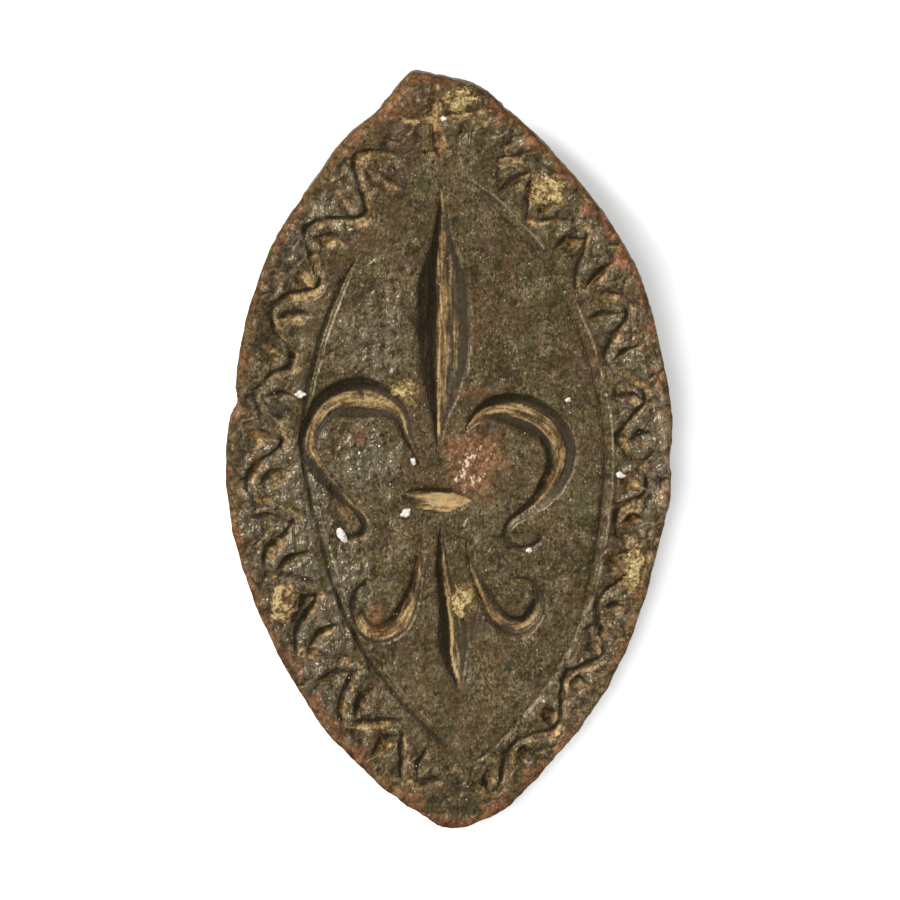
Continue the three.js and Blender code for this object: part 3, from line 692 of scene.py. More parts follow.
def relaxSheet(mesh, fixed, reach):   # evens out the faces along the edge
    objectMode()
    spots = corners(mesh)
    a, b = valuesOf(mesh.edges, "vertices", int, 2).T
    edge, _, _, _ = nearest(outlineLoop, spots[:, 0], spots[:, 1], reach)
    free = (edge < reach) & ~fixed
    for _ in range(die["relaxing"]):
        total, count = np.zeros((len(spots), 2)), np.zeros(len(spots))
        for here, there in ((a, b), (b, a)):
            np.add.at(total, here, spots[there, :2])
            np.add.at(count, here, 1)
        spots[free, :2] = (total / count[:, None])[free]
    placeCorners(mesh, spots)


plate = trimmedSheet("engraved_plate", die["step"], die["faceInset"])
editMode()
markOpenEdge()
objectMode()
spots = corners(plate.data)
spots[:, 2] = carveFace(spots[:, 0], spots[:, 1])[0]
placeCorners(plate.data, spots)
print("face cut:", len(spots), "corners")

radius = outline["rounding"]          # rings of the wall: inset and drop, over the edge, down and under
rings = [(radius * (1 - math.sin(a)), radius * (1 - math.cos(a))) for a in np.radians((45, 60, 75, 90))]
rings += [(0, drop) for drop in np.linspace(radius, thickness - radius, 7)[1:]]
rings += [(radius * (1 - math.cos(a)), thickness - radius * (1 - math.sin(a))) for a in np.radians((30, 60, 90))]
editMode()
for inset, drop in rings:
    def ringRule(row, spots):
        place, away = outlineAt(row, inset)
        span = row * die["rowLength"]
        rough = outline["wallRoughness"] * (0.5 + 0.5 * grain(span, drop * 1.3, 0.9, 15, 3))
        chip = outline["chips"] * ease(grain(span, 0 * span, 1.6, 16, 2), 0.1, 0.9) * math.exp(-drop)
        top = drop <= radius
        height = carveFace(place[:, 0], place[:, 1])[0] if top and inset > 0.01 else -drop - 0.05 * top
        shift = away * (rough + chip)[:, None] * ease(drop, 0.1, 0.5)
        return place - shift, height + 0.02 * grain(span, drop, 0.5, 17)
    bpy.ops.mesh.extrude_edges_move()
    drawnOut(plate, ringRule)
objectMode()

saveShare(plate.data, "coarse", np.zeros(len(plate.data.vertices)))
back = trimmedSheet("plate_back_sheet", die["backStep"], die["backInset"])
spots = corners(back.data)
spots[:, 2] = -thickness + die["backRoughness"] * (1 + grain(spots[:, 0], spots[:, 1], 2.0, 25, 4))
placeCorners(back.data, spots)
saveShare(back.data, "coarse", np.ones(len(spots)))
editMode()
mark()
bpy.ops.mesh.flip_normals()
objectMode()
dropAll()
back.select_set(True)
plate.select_set(True)
bpy.context.view_layer.objects.active = plate
bpy.ops.object.join()


def zipEdges(piece):                  # joins the wall's fine edge to the back's coarse one
    along, isCoarse = readShare(piece.data, "along"), readShare(piece.data, "coarse") > 0.5
    shape = bmesh.new()
    shape.from_mesh(piece.data)
    shape.verts.ensure_lookup_table()
    ends = {corner.index for edge in shape.edges if len(edge.link_faces) == 1 for corner in edge.verts}
    fine = sorted((i for i in ends if not isCoarse[i]), key=lambda i: along[i])
    coarse = sorted((i for i in ends if isCoarse[i]), key=lambda i: along[i])
    total = len(outlineRows)
    i = j = 0
    while i < len(fine) or j < len(coarse):
        nextFine = along[fine[i + 1]] if i + 1 < len(fine) else along[fine[0]] + total
        nextCoarse = along[coarse[j + 1]] if j + 1 < len(coarse) else along[coarse[0]] + total
        a, b = shape.verts[fine[i % len(fine)]], shape.verts[coarse[j % len(coarse)]]
        if i < len(fine) and (j >= len(coarse) or nextFine <= nextCoarse):
            i += 1
            shape.faces.new((a, b, shape.verts[fine[i % len(fine)]]))
        else:
            j += 1
            shape.faces.new((a, b, shape.verts[coarse[j % len(coarse)]]))
    shape.to_mesh(piece.data)
    shape.free()


zipEdges(plate)
editMode()
mark("EDGE")
bpy.ops.mesh.normals_make_consistent(inside=False)
mark(action="DESELECT")
bpy.ops.mesh.select_non_manifold(extend=False)
objectMode()
leftOpen = valuesOf(plate.data.edges, "select", bool).sum()
print("plate closed:", len(plate.data.vertices), "corners,", leftOpen, "open edges")

x, y, z = corners(plate.data).T
_, masks = carveFace(x, y)
onFace = (z > -die["faceDepth"]) * (1 - ease(-z, 0.3, 0.8) * (1 - ease(masks["edge"], 0.0, 0.3)))
# wear, and a painted sheen: paler and glintier on the left, where the raking light falls
masks["wearAndSheen"] = np.clip(stainAt("ash", x, y) + 0.5 * masks["slips"], 0, 1)
for kind, ragged in (("copper", 0.3), ("bare", 0.4), ("green", 0.6)):
    masks[kind] = stainAt(kind, x, y, ragged)
# the plug's painted shadow darkens the face round it and clears the earth there
plugShadow = stainAt("plugShadow", x, y, 0.3)
masks["dark"] = np.maximum(masks["dark"], plugShadow)
masks["earth"] = np.maximum(masks["earth"], stainAt("sand", x, y)) * (1 - plugShadow)
masks["earth"] = np.maximum(masks["earth"], masks["bare"] * (1 - masks["copper"]))
for key in ("earth", "dark", "lip", "pits", "wearAndSheen", "copper", "bare", "green"):
    saveShare(plate.data, key, masks[key] * onFace)
for key in ("offset", "length"):
    saveShare(plate.data, key, masks[key])
saveShare(plate.data, "brink", np.where(onFace > 0, 1 - ease(masks["edge"], 0.1, 0.7), 0.6))
right, up = x / halfWidth, y / halfLength
redder = np.maximum.reduce([ease(1.2 * up - right, -1.1, 0.0), ease(-right, 0.0, 0.4), ease(-up, 0.7, 0.88)])
onLowLeft = ease(-right, -0.1, 0.1) * ease(-up, 0.5, 0.75)
onLeftSide = ease(-right, 0.3, 0.7) * (1 - ease(-up, 0.4, 0.6))
redder = (0.45 + 0.55 * redder) * (1 + 0.9 * onLowLeft) * (1 - 0.3 * onLeftSide)
below = -z + 0.9 * grain(x + 0.7 * z, y + 0.7 * z, 1.4, 33, 3)   # down the wall, with a ragged end
rim = np.clip(masks["rim"], 0, 1)
saveShare(plate.data, "rim", rim * redder * (1 - ease(below, 0.3, 1.5)))
# painted sheen: the right of the rim is lightened
saveShare(plate.data, "rimSheen", rim * ease(right, 0.15, 0.6) * (1 - ease(below, 0.7, 1.8)))
print("masks written")


# Shader building: a Wire is a socket that takes Python's sums

class Wire:
    def __init__(self, finish, socket):
        self.finish, self.socket = finish, socket

    def sum(self, operation, first, second):
        return self.finish.node("Math", {0: first, 1: second}, operation=operation)

    def __add__(self, other):
        return self.sum("ADD", self, other)

    def __sub__(self, other):
        return self.sum("SUBTRACT", self, other)

    def __rsub__(self, other):
        return self.sum("SUBTRACT", other, self)

    def __mul__(self, other):
        return self.sum("MULTIPLY", self, other)

    __radd__, __rmul__ = __add__, __mul__


class Finish:
    def __init__(self, name):
        self.material = bpy.data.materials.new(name)
        self.material.use_nodes = True
        self.tree = self.material.node_tree
        self.tree.nodes.clear()

    def node(self, kind, sockets=None, out=0, **settings):
        made = self.tree.nodes.new("ShaderNode" + kind)
        for key, value in settings.items():
            setattr(made, key, value)
        for key, value in (sockets or {}).items():
            if isinstance(value, Wire):
                self.tree.links.new(value.socket, made.inputs[key])
            else:
                made.inputs[key].default_value = value
        return Wire(self, made.outputs[out]) if len(made.outputs) else None

    def places(self, scale=(1, 1, 1)):    # object coordinates in millimetres
        return self.node("Mapping", {0: self.node("TexCoord", out=3), 3: [1000 * s for s in scale]})

    def noise(self, spot, perMm, detail=2.0, roughness=0.5, shift=0.0):
        moved = self.node("VectorMath", {0: spot, 1: (shift, shift * 0.7, shift * 1.3)}, operation="ADD")
        return self.node("TexNoise", {"Vector": moved, "Scale": perMm, "Detail": detail, "Roughness": roughness})

    def share(self, name):
        return self.node("Attribute", out=2, attribute_name=name)

    def ramp(self, value, low, high):     # 0 below low, 1 above high
        return self.node("MapRange", {"Value": value, "From Min": low, "From Max": high},
                         interpolation_type="SMOOTHSTEP")

    def mix(self, share, first, second, blend="MIX"):
        paint = lambda c: c if isinstance(c, Wire) else (*c, 1)
        return self.node("Mix", {0: share, 6: paint(first), 7: paint(second)}, out=2,
                         data_type="RGBA", blend_type=blend)

    def bump(self, height, reach, strength=1.0):
        return self.node("Bump", {"Height": height, "Distance": reach * mm, "Strength": strength})

    def surface(self, dull=None, **sockets):
        shader = self.node("BsdfPrincipled", {key.replace("_", " "): value for key, value in sockets.items()})
        if dull is not None:
            plain = self.node("BsdfDiffuse", {"Color": sockets["Base_Color"], "Normal": sockets["Normal"]})
            shader = self.node("MixShader", {0: dull, 1: shader, 2: plain})
        self.node("OutputMaterial", {"Surface": shader})
        return self.material


def linear(red, green, blue):             # a colour as it is seen on screen, 0 to 255
    return tuple(((c / 255 + 0.055) / 1.055) ** 2.4 if c > 10 else c / 3294 for c in (red, green, blue))


patina = {
    "deep": (60, 48, 25), "olive": (98, 83, 51), "ash": (150, 133, 101), "glint": (222, 212, 192),
    "pit": (42, 33, 20), "brown": (94, 68, 40), "plum": (102, 78, 64), "rust": (138, 96, 58),
    "green": (84, 88, 50), "verdigris": (80, 88, 56), "worn": (126, 114, 92), "wall": (52, 44, 31),
    "wallPale": (112, 96, 70), "soilDark": (92, 68, 38), "earth": (146, 114, 68), "sand": (200, 170, 118),
    "rim": (90, 60, 39), "rimPale": (146, 100, 64), "copperDark": (108, 74, 44), "copper": (168, 120, 84),
    "copperGlint": (240, 212, 180),
}
blotches = [              # colour, scale and shift of its noise, where it starts and is full, strength
    ("brown", 0.5, 100, 0.46, 0.66, 0.4), ("green", 0.8, 120, 0.52, 0.7, 0.35),
    ("plum", 1.1, 140, 0.5, 0.66, 0.4), ("rust", 2.4, 160, 0.58, 0.7, 0.35),
]
lustre = {"metal": 0.25, "gloss": 0.3, "dulling": 0.28, "relief": 0.13, "sheenLift": (1.9, 1.85, 2.0)}


def patinaFinish(name, engraved):
    finish = Finish(name)
    spot = finish.places()
    long = finish.places((1.3, 0.75, 1))
    paint = {key: linear(*value) for key, value in patina.items()}

    def coat(value, start, full, strength, key):   # lays a colour where the value passes start
        return finish.mix(finish.ramp(value, start, full) * strength, colour, paint[key])

    fine = finish.noise(long, 6.4, 3.0, 0.7)
    crumb = finish.noise(spot, 3.0, 4.0, 0.65, 30)
    middle = finish.noise(spot, 1.3, 3.0, 0.6, 40)
    broad = finish.noise(spot, 0.32, 3.0, 0.6, 80)
    uneven = crumb - 0.5
    crests = 1 - finish.node("Math", {0: 5 * uneven}, operation="ABSOLUTE")
    tone = 0.67 * fine - 0.035 + 0.25 * crumb + 0.13 * crests + 0.3 * (middle - 0.5) + 0.3 * (broad - 0.5)
    if engraved:
        keys = ("dark", "earth", "lip", "rim", "pits", "wearAndSheen", "copper", "bare", "green")
        dark, earth, lip, rim, pits, wearAndSheen, copper, bare, green = map(finish.share, keys)
        tone = tone + 0.05 * wearAndSheen
    colour = finish.mix(finish.ramp(tone, 0.41, 0.57), paint["deep"], paint["olive"])
    colour = coat(tone, 0.54, 0.66, 0.75, "ash")
    for key, scale, shift, start, full, strength in blotches:
        colour = coat(finish.noise(spot, scale, 3, 0.6, shift), start, full, strength, key)
    colour = coat(finish.noise(spot, 5.2, 2.0, 0.6, 220), 0.58, 0.68, 0.75, "pit")
    rough = lustre["gloss"] + lustre["dulling"] * middle
    heights = 0.3 * finish.noise(long, 3.0, 1.0, 0.5, 300) + 0.2 * finish.noise(spot, 6.0, 0.0, 0.5, 320)
    glitter = finish.noise(long, 7.4, 2.0, 0.6, 200)
    sparkle = finish.ramp(middle, 0.4, 0.62)
    if engraved:
        along = finish.node("CombineXYZ", {0: finish.share("offset"), 1: 0.09 * finish.share("length")})
        strokes = finish.noise(along, 6.5, 2.0, 0.6, 400)
        # the worn colour lays wear and a painted sheen, paler on the left
        colour = coat(wearAndSheen + 1.2 * uneven, 0.2, 1.0, 0.62, "worn")
        colour = coat(wearAndSheen - 4.0 * (crumb - 0.43), 0.3, 1.0, 0.62, "deep")
        colour = coat(green + 0.8 * (middle - 0.5), 0.35, 0.95, 0.5, "verdigris")
        scuffs = finish.ramp(0.6 * strokes + 0.4 * fine, 0.49, 0.62) * (0.8 - 0.65 * dark)
        shade = finish.mix(scuffs, paint["wall"], paint["wallPale"])
        # the dark share is dark patina and painted shade in the cuts and creases, and the plug's painted shadow
        colour = finish.mix(finish.ramp(dark + 0.35 * uneven, 0.2, 0.8) * 0.82, colour, shade)
        streaks = 0.62 * strokes + 0.38 * fine + 0.12 * (earth - 0.7) + 0.3 * (middle - 0.5) + 0.3 * bare
        soil = finish.mix(finish.ramp(streaks, 0.5, 0.62), paint["earth"], paint["sand"])
        soil = finish.mix(finish.ramp(streaks, 0.4, 0.5), paint["soilDark"], soil)
        soiled = finish.ramp(earth + 0.9 * uneven + 0.9 * (strokes - 0.5), 0.2, 0.95) * 0.85
        colour = finish.mix(soiled, colour, soil)
        # painted highlight along the lips on the side turned to the lamps, in ash and then glint
        colour = coat(lip + 1.4 * uneven, 0.4, 1.1, 0.45, "ash")
        colour = coat(lip + 2.0 * (fine - 0.5), 1.0, 2.0, 0.5, "glint")
        red = finish.ramp(0.25 * fine + 0.4 * crumb + 0.35 * middle, 0.44, 0.6)
        red = finish.mix(red, paint["rim"], paint["rimPale"])
        colour = finish.mix(finish.ramp(rim + 1.5 * (middle - 0.5) + 0.4 * uneven, 0.3, 0.95) * 0.8, colour, red)
        # painted sheen: lightens the right of the rim
        colour = finish.mix(finish.share("rimSheen"), colour, lustre["sheenLift"], "MULTIPLY")
        metal = finish.ramp(0.4 * fine + 0.6 * crumb, 0.42, 0.62)
        metal = finish.mix(metal, paint["copperDark"], paint["copper"])
        colour = finish.mix(finish.ramp(copper + 0.6 * uneven, 0.05, 1.1) * 0.85, colour, metal)
        # painted glints on the bare copper
        glintsOnCopper = finish.noise(long, 4.4, 2.0, 0.6, 420) + 0.35 * (bare * finish.ramp(copper, 0.1, 0.5) - 1)
        colour = coat(glintsOnCopper, 0.43, 0.56, 0.9, "copperGlint")
        colour = finish.mix(pits * 0.4, colour, paint["pit"])
        sparkle = 0.6 * sparkle + 0.4 * wearAndSheen - dark
        filled = earth + dark
        rough = rough + 0.35 * finish.ramp(filled, 0.3, 0.9) - 0.12 * wearAndSheen
        heights = heights * (0.7 + 2.0 * wearAndSheen + copper) + 0.5 * finish.ramp(filled, 0.2, 0.7) * strokes
        heights = heights + 1.1 * wearAndSheen * finish.noise(spot, 1.7, 0.0, 0.5, 360)
        glitter = glitter + 0.025 * wearAndSheen
    # painted glints in the glint colour, more where worn and none in the dark
    colour = finish.mix(finish.ramp(glitter, 0.62, 0.71) * sparkle, colour, paint["glint"])
    heights = heights + 0.4 * finish.noise(spot, 1.3, 0.0, 0.5, 340)
    sockets = {"Base_Color": colour, "Roughness": rough, "Metallic": lustre["metal"], "Specular_IOR_Level": 0.5,
               "Normal": finish.bump(heights, lustre["relief"])}
    if engraved:                          # the rim is too dull to mirror the white around it
        sockets["dull"] = finish.share("brink")
    return finish.surface(**sockets)


settle(plate, patinaFinish("patina_engraved", True), "die_metal", "die_plate", smooth=180)


# The back: a ridge to hold, a pierced lug, and solder along its foot

seatGap = 0.02
seatZ = -thickness - seatGap


def roughen(piece, size, strength):
    texture = bpy.data.textures.new(piece.name + "_clouds", "CLOUDS")
    texture.noise_scale = size
    useModifier(piece, "DISPLACE", texture=texture, strength=strength, mid_level=0.5, texture_coords="LOCAL")


lug = {"place": 0.79, "radius": 2.2, "stem": 1.8, "thickness": 2.6, "edge": 0.32, "eye": 0.9, "sides": 48,
       "roughSize": 0.7, "roughness": 0.1}
lugY, eyeZ, cheek = lug["place"] * halfLength, seatZ - lug["stem"], lug["thickness"] / 2
bpy.ops.mesh.primitive_circle_add(vertices=lug["sides"], radius=lug["eye"] + lug["edge"] * 0.5,
                                  location=(-cheek, lugY, eyeZ), rotation=(0, math.pi / 2, 0))
ring = started("pierced_lug")
setPlace()
editMode()
mark()
bpy.ops.mesh.extrude_edges_move()
shape = bmesh.from_edit_mesh(ring.data)
for corner in [v for v in shape.verts if v.select]:
    away = Vector((0, corner.co.y - lugY, corner.co.z - eyeZ)).normalized()
    reach = lug["radius"]
    if away.z > 0:                    # towards the plate the head runs into a straight stem
        reach = min(lug["radius"] / max(abs(away.y), 1e-6), lug["stem"] / away.z)
    corner.co = Vector((-cheek, lugY, eyeZ)) + away * reach
bmesh.update_edit_mesh(ring.data)
mark()
bpy.ops.mesh.extrude_region_move(TRANSFORM_OT_translate={"value": (lug["thickness"], 0, 0)})
mark()
bpy.ops.mesh.normals_make_consistent(inside=False)
mark("EDGE", "DESELECT")
bpy.ops.mesh.edges_select_sharp(sharpness=math.radians(60))
bpy.ops.mesh.bevel(offset=lug["edge"], segments=3)
useModifier(ring, "SUBSURF", levels=2, render_levels=2)
roughen(ring, lug["roughSize"], lug["roughness"])
settle(ring, patinaFinish("patina_lug", False), "lug_metal", "suspension_lug")

ridge = {"end": -0.76, "width": 3.4, "taper": 0.55, "lowHeight": 0.3, "highHeight": 2.3, "crestShare": 0.3,
         "cuts": ((1, 30), (2, 4), (0, 3)),   # along each axis
         "roughSize": 1.1, "roughness": 0.14}
ridgeLow, ridgeHigh = ridge["end"] * halfLength, lugY - lug["radius"] - seatGap
bpy.ops.mesh.primitive_cube_add(size=1, location=(0, (ridgeLow + ridgeHigh) / 2, seatZ - ridge["highHeight"] / 2),
                                scale=(ridge["width"], ridgeHigh - ridgeLow, ridge["highHeight"]))
bar = started("handle_ridge_cast")
setPlace()
for axis, count in ridge["cuts"]:
    pickEdges(bar, lambda a, b: abs(a[axis] - b[axis]) > 1)
    bpy.ops.mesh.subdivide(number_cuts=count)
objectMode()
spots = corners(bar.data)
share = (spots[:, 1] - ridgeLow) / (ridgeHigh - ridgeLow)
rise = (seatZ - spots[:, 2]) / ridge["highHeight"]
spots[:, 0] *= (ridge["taper"] + (1 - ridge["taper"]) * share) * (1 - (1 - ridge["crestShare"]) * rise ** 1.3)
spots[:, 2] = seatZ - rise * (ridge["lowHeight"] + (ridge["highHeight"] - ridge["lowHeight"]) * share)
placeCorners(bar.data, spots)
useModifier(bar, "SUBSURF", levels=2, render_levels=2)
roughen(bar, ridge["roughSize"], ridge["roughness"])
settle(bar, patinaFinish("patina_back", False), "back_metal", "handle_ridge")

solder = {
    "size": 0.62, "rounding": 0.85, "cuts": 22, "waver": 0.2, "runOut": 0.85,
    "roughSize": 0.5, "roughness": 0.12,
    "dull": (88, 80, 64), "bright": (132, 126, 110), "stain": (80, 66, 42),
}


def solderFinish():
    finish = Finish("tin_solder")
    spot = finish.places()
    blotch = finish.noise(spot, 1.6, 3.0, 0.6)
    fine = finish.noise(spot, 7.0, 2.0, 0.6, 20)
    dull, bright, stain = (linear(*solder[key]) for key in ("dull", "bright", "stain"))
    colour = finish.mix(finish.ramp(blotch, 0.38, 0.62), dull, bright)
    colour = finish.mix(finish.ramp(0.6 * fine + 0.4 * blotch, 0.48, 0.62) * 0.7, colour, stain)
    normal = finish.bump(fine * 0.4 + blotch * 0.6, 0.1, 0.8)
    return finish.surface(Base_Color=colour, Roughness=0.45 + 0.25 * fine, Metallic=0.35, Normal=normal)


tin = solderFinish()
for side, name in ((1, "right"), (-1, "left")):
    size, length = solder["size"], 2 * (lug["radius"] - lug["edge"])
    root = np.array((side * (cheek + seatGap), 0, seatZ))
    middle = (root[0] + side * size / 2, lugY, seatZ - size / 2)
    dropAll()
    bpy.ops.mesh.primitive_cube_add(size=1, location=middle, scale=(size, length, size))
    bead = started("solder_bead_" + name)
    setPlace()
    farX, farZ = middle[0] + side * size / 2, seatZ - size
    pickEdges(bead, lambda *ends: all(abs(end.x - farX) < 0.01 and abs(end.z - farZ) < 0.01 for end in ends))
    bpy.ops.mesh.bevel(offset=size * solder["rounding"], segments=6, profile=0.12)
    pickEdges(bead, lambda a, b: abs(a.y - b.y) > 1)
    bpy.ops.mesh.subdivide(number_cuts=solder["cuts"])
    useModifier(bead, "SUBSURF", levels=1, render_levels=1)
    spots = corners(bead.data)        # the bead runs out towards its ends
    share = np.clip(np.abs(spots[:, 1] - lugY) / (length / 2), 0, 1)
    waver = 1 + solder["waver"] * grain(spots[:, 1], 0 * share, 0.9, 75 + side, 2)
    full = np.sqrt(1 - solder["runOut"] * share ** 4) * waver
    spots[:, ::2] = (root + (spots - root) * full[:, None])[:, ::2]
    placeCorners(bead.data, spots)
    roughen(bead, solder["roughSize"], solder["roughness"])
    settle(bead, tin, "solder", "solder_fillet_" + name)


# What clings to the face: crusts of earth and specks of lime

def turned(u, v, turn, place):        # turned about its middle and moved to a place given as shares
    cos, sin = math.cos(math.radians(turn)), math.sin(math.radians(turn))
    return place[0] * halfWidth + u * cos - v * sin, place[1] * halfLength + u * sin + v * cos


crusts = {
    "step": 0.055, "spread": 1.5, "under": 0.1,
    "patches": [          # name, node, place as shares, length and breadth in mm, turn, height
        ("crust_apex", "earth_crust_apex", (0.055, 0.934), (2.1, 1.35), 10, 0.1),
        ("crust_shoulder", "earth_crust_shoulder", (0.442, 0.69), (2.6, 1.7), -50, 0.12),
        ("crust_petal", "earth_crust_petal", (-0.196, 0.17), (1.8, 1.15), -20, 0.07),
        ("crust_tail", "earth_crust_tail", (0.058, -0.388), (1.9, 1.4), 80, 0.08),
        ("crust_flank", "earth_crust_flank", (0.828, -0.3), (2.4, 1.2), 75, 0.1),
        ("crust_plug", "earth_plug", (-0.735, -0.396), (2.5, 1.6), 78, 0.34),
    ],
    "bed": -0.14,         # a cut below this is filled before the crust rises
    "dark": (84, 66, 36), "tan": (150, 124, 70), "sand": (204, 184, 138), "olive": (116, 102, 56),
    "firmDark": (76, 54, 30), "firmPale": (186, 155, 106),   # of the plug
}


def earthFinish():
    finish = Finish("dry_earth")
    spot = finish.places()
    dark, tan, pale, olive, firmDark, firmPale = (
        linear(*crusts[key]) for key in ("dark", "tan", "sand", "olive", "firmDark", "firmPale"))
    sand = finish.noise(spot, 6.5, 2.0, 0.6)
    clod = finish.noise(spot, 2.6, 2.0, 0.55, 20)
    patch = finish.noise(spot, 1.2, 3.0, 0.6, 60)
    cover = finish.share("cover")
    grains = 0.65 * sand + 0.35 * clod + 0.1 * finish.ramp(cover, 0.0, 0.5) - 0.05
    colour = finish.mix(finish.ramp(grains, 0.43, 0.53), dark, tan)
    colour = finish.mix(finish.ramp(grains, 0.53, 0.63) * 0.9, colour, pale)
    colour = finish.mix(finish.ramp(patch, 0.48, 0.64) * 0.45, colour, olive)
    smooth = finish.mix(finish.ramp(0.7 * clod + 0.3 * sand, 0.46, 0.57), firmDark, firmPale)
    colour = finish.mix(0.75 * finish.share("firm"), colour, smooth)
    normal = finish.bump(clod * 0.6 + sand * 0.4, 0.07)
    shown = finish.ramp(cover + 1.7 * (sand - 0.5), 0.06, 0.26)
    rough = 0.6 + 0.25 * patch
    return finish.surface(Base_Color=colour, Roughness=rough, Metallic=0.0, Normal=normal, Alpha=shown)


soil = earthFinish()
for number, (name, node, place, size, turn, height) in enumerate(crusts["patches"]):
    dropAll()
    countX, countY = (math.ceil(crusts["spread"] * s / crusts["step"]) for s in size)
    bpy.ops.mesh.primitive_grid_add(x_subdivisions=countX, y_subdivisions=countY, size=1)
    patch = started(name)
    flat = corners(patch.data)[:, :2] * crusts["spread"]
    reach = np.hypot(flat[:, 0], flat[:, 1]) * 2
    x, y = turned(flat[:, 0] * size[0], flat[:, 1] * size[1], turn, place)
    firm = node == "earth_plug"
    cover = 1 - reach + (0.12 if firm else 0.4) * grain(x, y, 0.7, 50 + number, 3)
    lumps = 1 + (0.2 if firm else 0.5) * grain(x, y, 0.24, 60 + number, 2)
    ground = carveFace(x, y)[0]
    ground += (np.maximum(ground, crusts["bed"]) - ground) * ease(cover, 0, 0.3)
    z = ground + height * ease(cover, 0, 0.45) * lumps - 0.05 * (1 - ease(cover, -0.05, 0.1))
    placeCorners(patch.data, np.column_stack([x, y, z]))
    saveShare(patch.data, "cover", cover * (3 if firm else 1))
    saveShare(patch.data, "firm", np.full(len(cover), float(firm)))
    pickCorners(patch, cover < -0.12)
    deletePicked()
    useModifier(patch, "SOLIDIFY", thickness=crusts["under"], offset=-1)
    settle(patch, soil, "earth", node, smooth=180)

specks = {
    "seed": 9, "sink": 0.25,
    "named": [            # place as shares, length, breadth and height in mm, turn
        ((-0.661, 0.156), (0.55, 0.36, 0.2), 0), ((-0.478, -0.222), (1.0, 0.5, 0.22), -60),
        ((-0.192, -0.159), (0.58, 0.42, 0.24), 35), ((0.766, -0.059), (0.55, 0.32, 0.16), -15),
        ((0.531, 0.141), (0.33, 0.24, 0.16), 20), ((0.357, -0.258), (0.34, 0.3, 0.18), 0),
        ((-0.158, -0.022), (0.43, 0.26, 0.18), -70), ((-0.022, 0.882), (0.33, 0.26, 0.14), 0),
    ],
    "dustCount": 90, "dustSize": (0.05, 0.12),
    "grey": (196, 188, 172), "white": (240, 236, 228),
}


def limeFinish():
    finish = Finish("chalky_lime")
    fine = finish.noise(finish.places(), 6.0, 3.0, 0.6)
    colour = finish.mix(finish.ramp(fine, 0.35, 0.65), linear(*specks["grey"]), linear(*specks["white"]))
    return finish.surface(Base_Color=colour, Roughness=0.8, Metallic=0.0, Normal=finish.bump(fine, 0.08, 0.8))


lime = limeFinish()
speckDice = np.random.default_rng(specks["seed"])


def lump(name, place, size, turn, divisions):
    dropAll()
    bpy.ops.mesh.primitive_ico_sphere_add(subdivisions=divisions, radius=0.5)
    piece = started(name)
    spots = corners(piece.data)
    turns = speckDice.uniform(0, 6, 3)
    bulge = 1 + 0.22 * np.sin(7 * spots[:, 0] + turns[0]) * np.sin(8 * spots[:, 1] + turns[1])
    spots *= (bulge + 0.08 * speckDice.uniform(-1, 1, len(spots)))[:, None]
    spots *= size
    x, y = turned(spots[:, 0], spots[:, 1], turn, place)
    ground = carveFace(*(np.array([middle]) for middle in turned(0, 0, 0, place)))[0][0]
    placeCorners(piece.data, np.column_stack([x, y, ground + spots[:, 2] + size[2] * specks["sink"]]))
    return piece


for number, (place, size, turn) in enumerate(specks["named"], 1):
    piece = lump(f"lime_{number}", place, size, turn, 4)
    settle(piece, lime, "lime", f"lime_speck_{number}", smooth=180)

dust = []
while len(dust) < specks["dustCount"]:
    place = speckDice.uniform(-0.95, 0.95, 2)
    if not insideOutline(np.array([place[0] * halfWidth * 1.06]), np.array([place[1] * halfLength * 1.06]))[0]:
        continue
    size = speckDice.uniform(*specks["dustSize"]) * speckDice.uniform(0.6, 1, 3)
    dust.append(lump("lime_dust", place, size, speckDice.uniform(0, 180), 1))
for piece in dust:
    piece.select_set(True)
bpy.context.view_layer.objects.active = dust[0]
bpy.ops.object.join()
settle(dust[0], lime, "lime", smooth=180)


# Floor, light and camera

studio = {
    "lamps": [            # name, place, size, power, seen in gloss: one for a soft shadow, one across the relief
        ("high_light", (-0.085, -0.07, 0.6), 0.16, 2.0, False),
        ("raking_light", (-0.46, 0.3, 0.5), 0.16, 4.6, True),
    ],
    "fill": 0.2, "card": (0.86, 0.86, 0.86), "floorGlow": 0.46, "floorSize": 3,
}

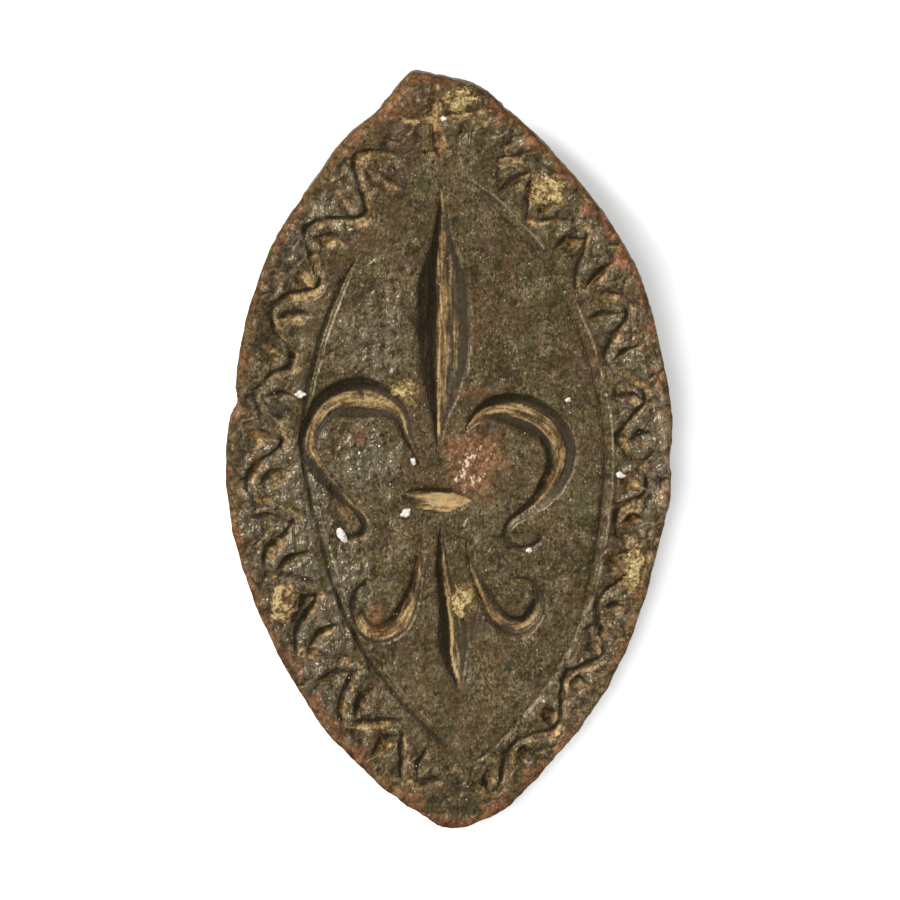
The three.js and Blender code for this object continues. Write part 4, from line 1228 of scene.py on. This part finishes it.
dropAll()
bpy.ops.mesh.primitive_plane_add(size=studio["floorSize"], location=(0, 0, -0.02 * mm))
floor = started("floor")
floorFinish = Finish("white_floor")
rays = floorFinish.node("LightPath").socket.node.outputs
seen, glossy, through = (Wire(floorFinish, rays[f"Is {ray} Ray"]) for ray in ("Camera", "Glossy", "Transmission"))
card = floorFinish.node("BsdfDiffuse", {"Color": (*studio["card"], 1)})
glow = (seen + glossy + through) * studio["floorGlow"]
lit = floorFinish.node("Emission", {"Color": (1, 1, 1, 1), "Strength": glow})
both = floorFinish.node("AddShader", {0: card, 1: lit})
clear = floorFinish.node("BsdfTransparent")
fromBelow = floorFinish.node("NewGeometry", out=6)
floorFinish.node("OutputMaterial", {"Surface": floorFinish.node("MixShader", {0: fromBelow, 1: both, 2: clear})})
floor.data.materials.append(floorFinish.material)

world = bpy.data.worlds.new("studio")
bpy.context.scene.world = world
world.use_nodes = True
tree = world.node_tree
tree.nodes.clear()
path = tree.nodes.new("ShaderNodeLightPath")
level = tree.nodes.new("ShaderNodeMapRange")
level.inputs["To Min"].default_value = studio["fill"]
level.inputs["To Max"].default_value = 1.0
tree.links.new(path.outputs["Is Camera Ray"], level.inputs["Value"])
sky = tree.nodes.new("ShaderNodeBackground")
sky.inputs["Color"].default_value = (1, 1, 1, 1)
tree.links.new(level.outputs["Result"], sky.inputs["Strength"])
tree.links.new(sky.outputs[0], tree.nodes.new("ShaderNodeOutputWorld").inputs[0])

for name, place, size, power, inGloss in studio["lamps"]:
    bpy.ops.object.light_add(type="AREA", location=place)
    lamp = bpy.context.object
    lamp.name = name
    lamp.visible_glossy = inGloss
    lamp.data.energy, lamp.data.size = power, size
    lamp.rotation_euler = (-Vector(place)).to_track_quat("-Z", "Y").to_euler()

view = {"height": 0.9, "lens": 683.0, "x": 0.00005, "y": 0.0}
bpy.ops.object.camera_add(location=(view["x"], view["y"], view["height"]))
camera = bpy.context.object
camera.data.lens = view["lens"]
camera.data.sensor_width = 36
camera.data.clip_start, camera.data.clip_end = 0.01, 10
bpy.context.scene.camera = camera
bpy.context.scene.view_settings.view_transform = "Standard"
print("stage, light and camera set")
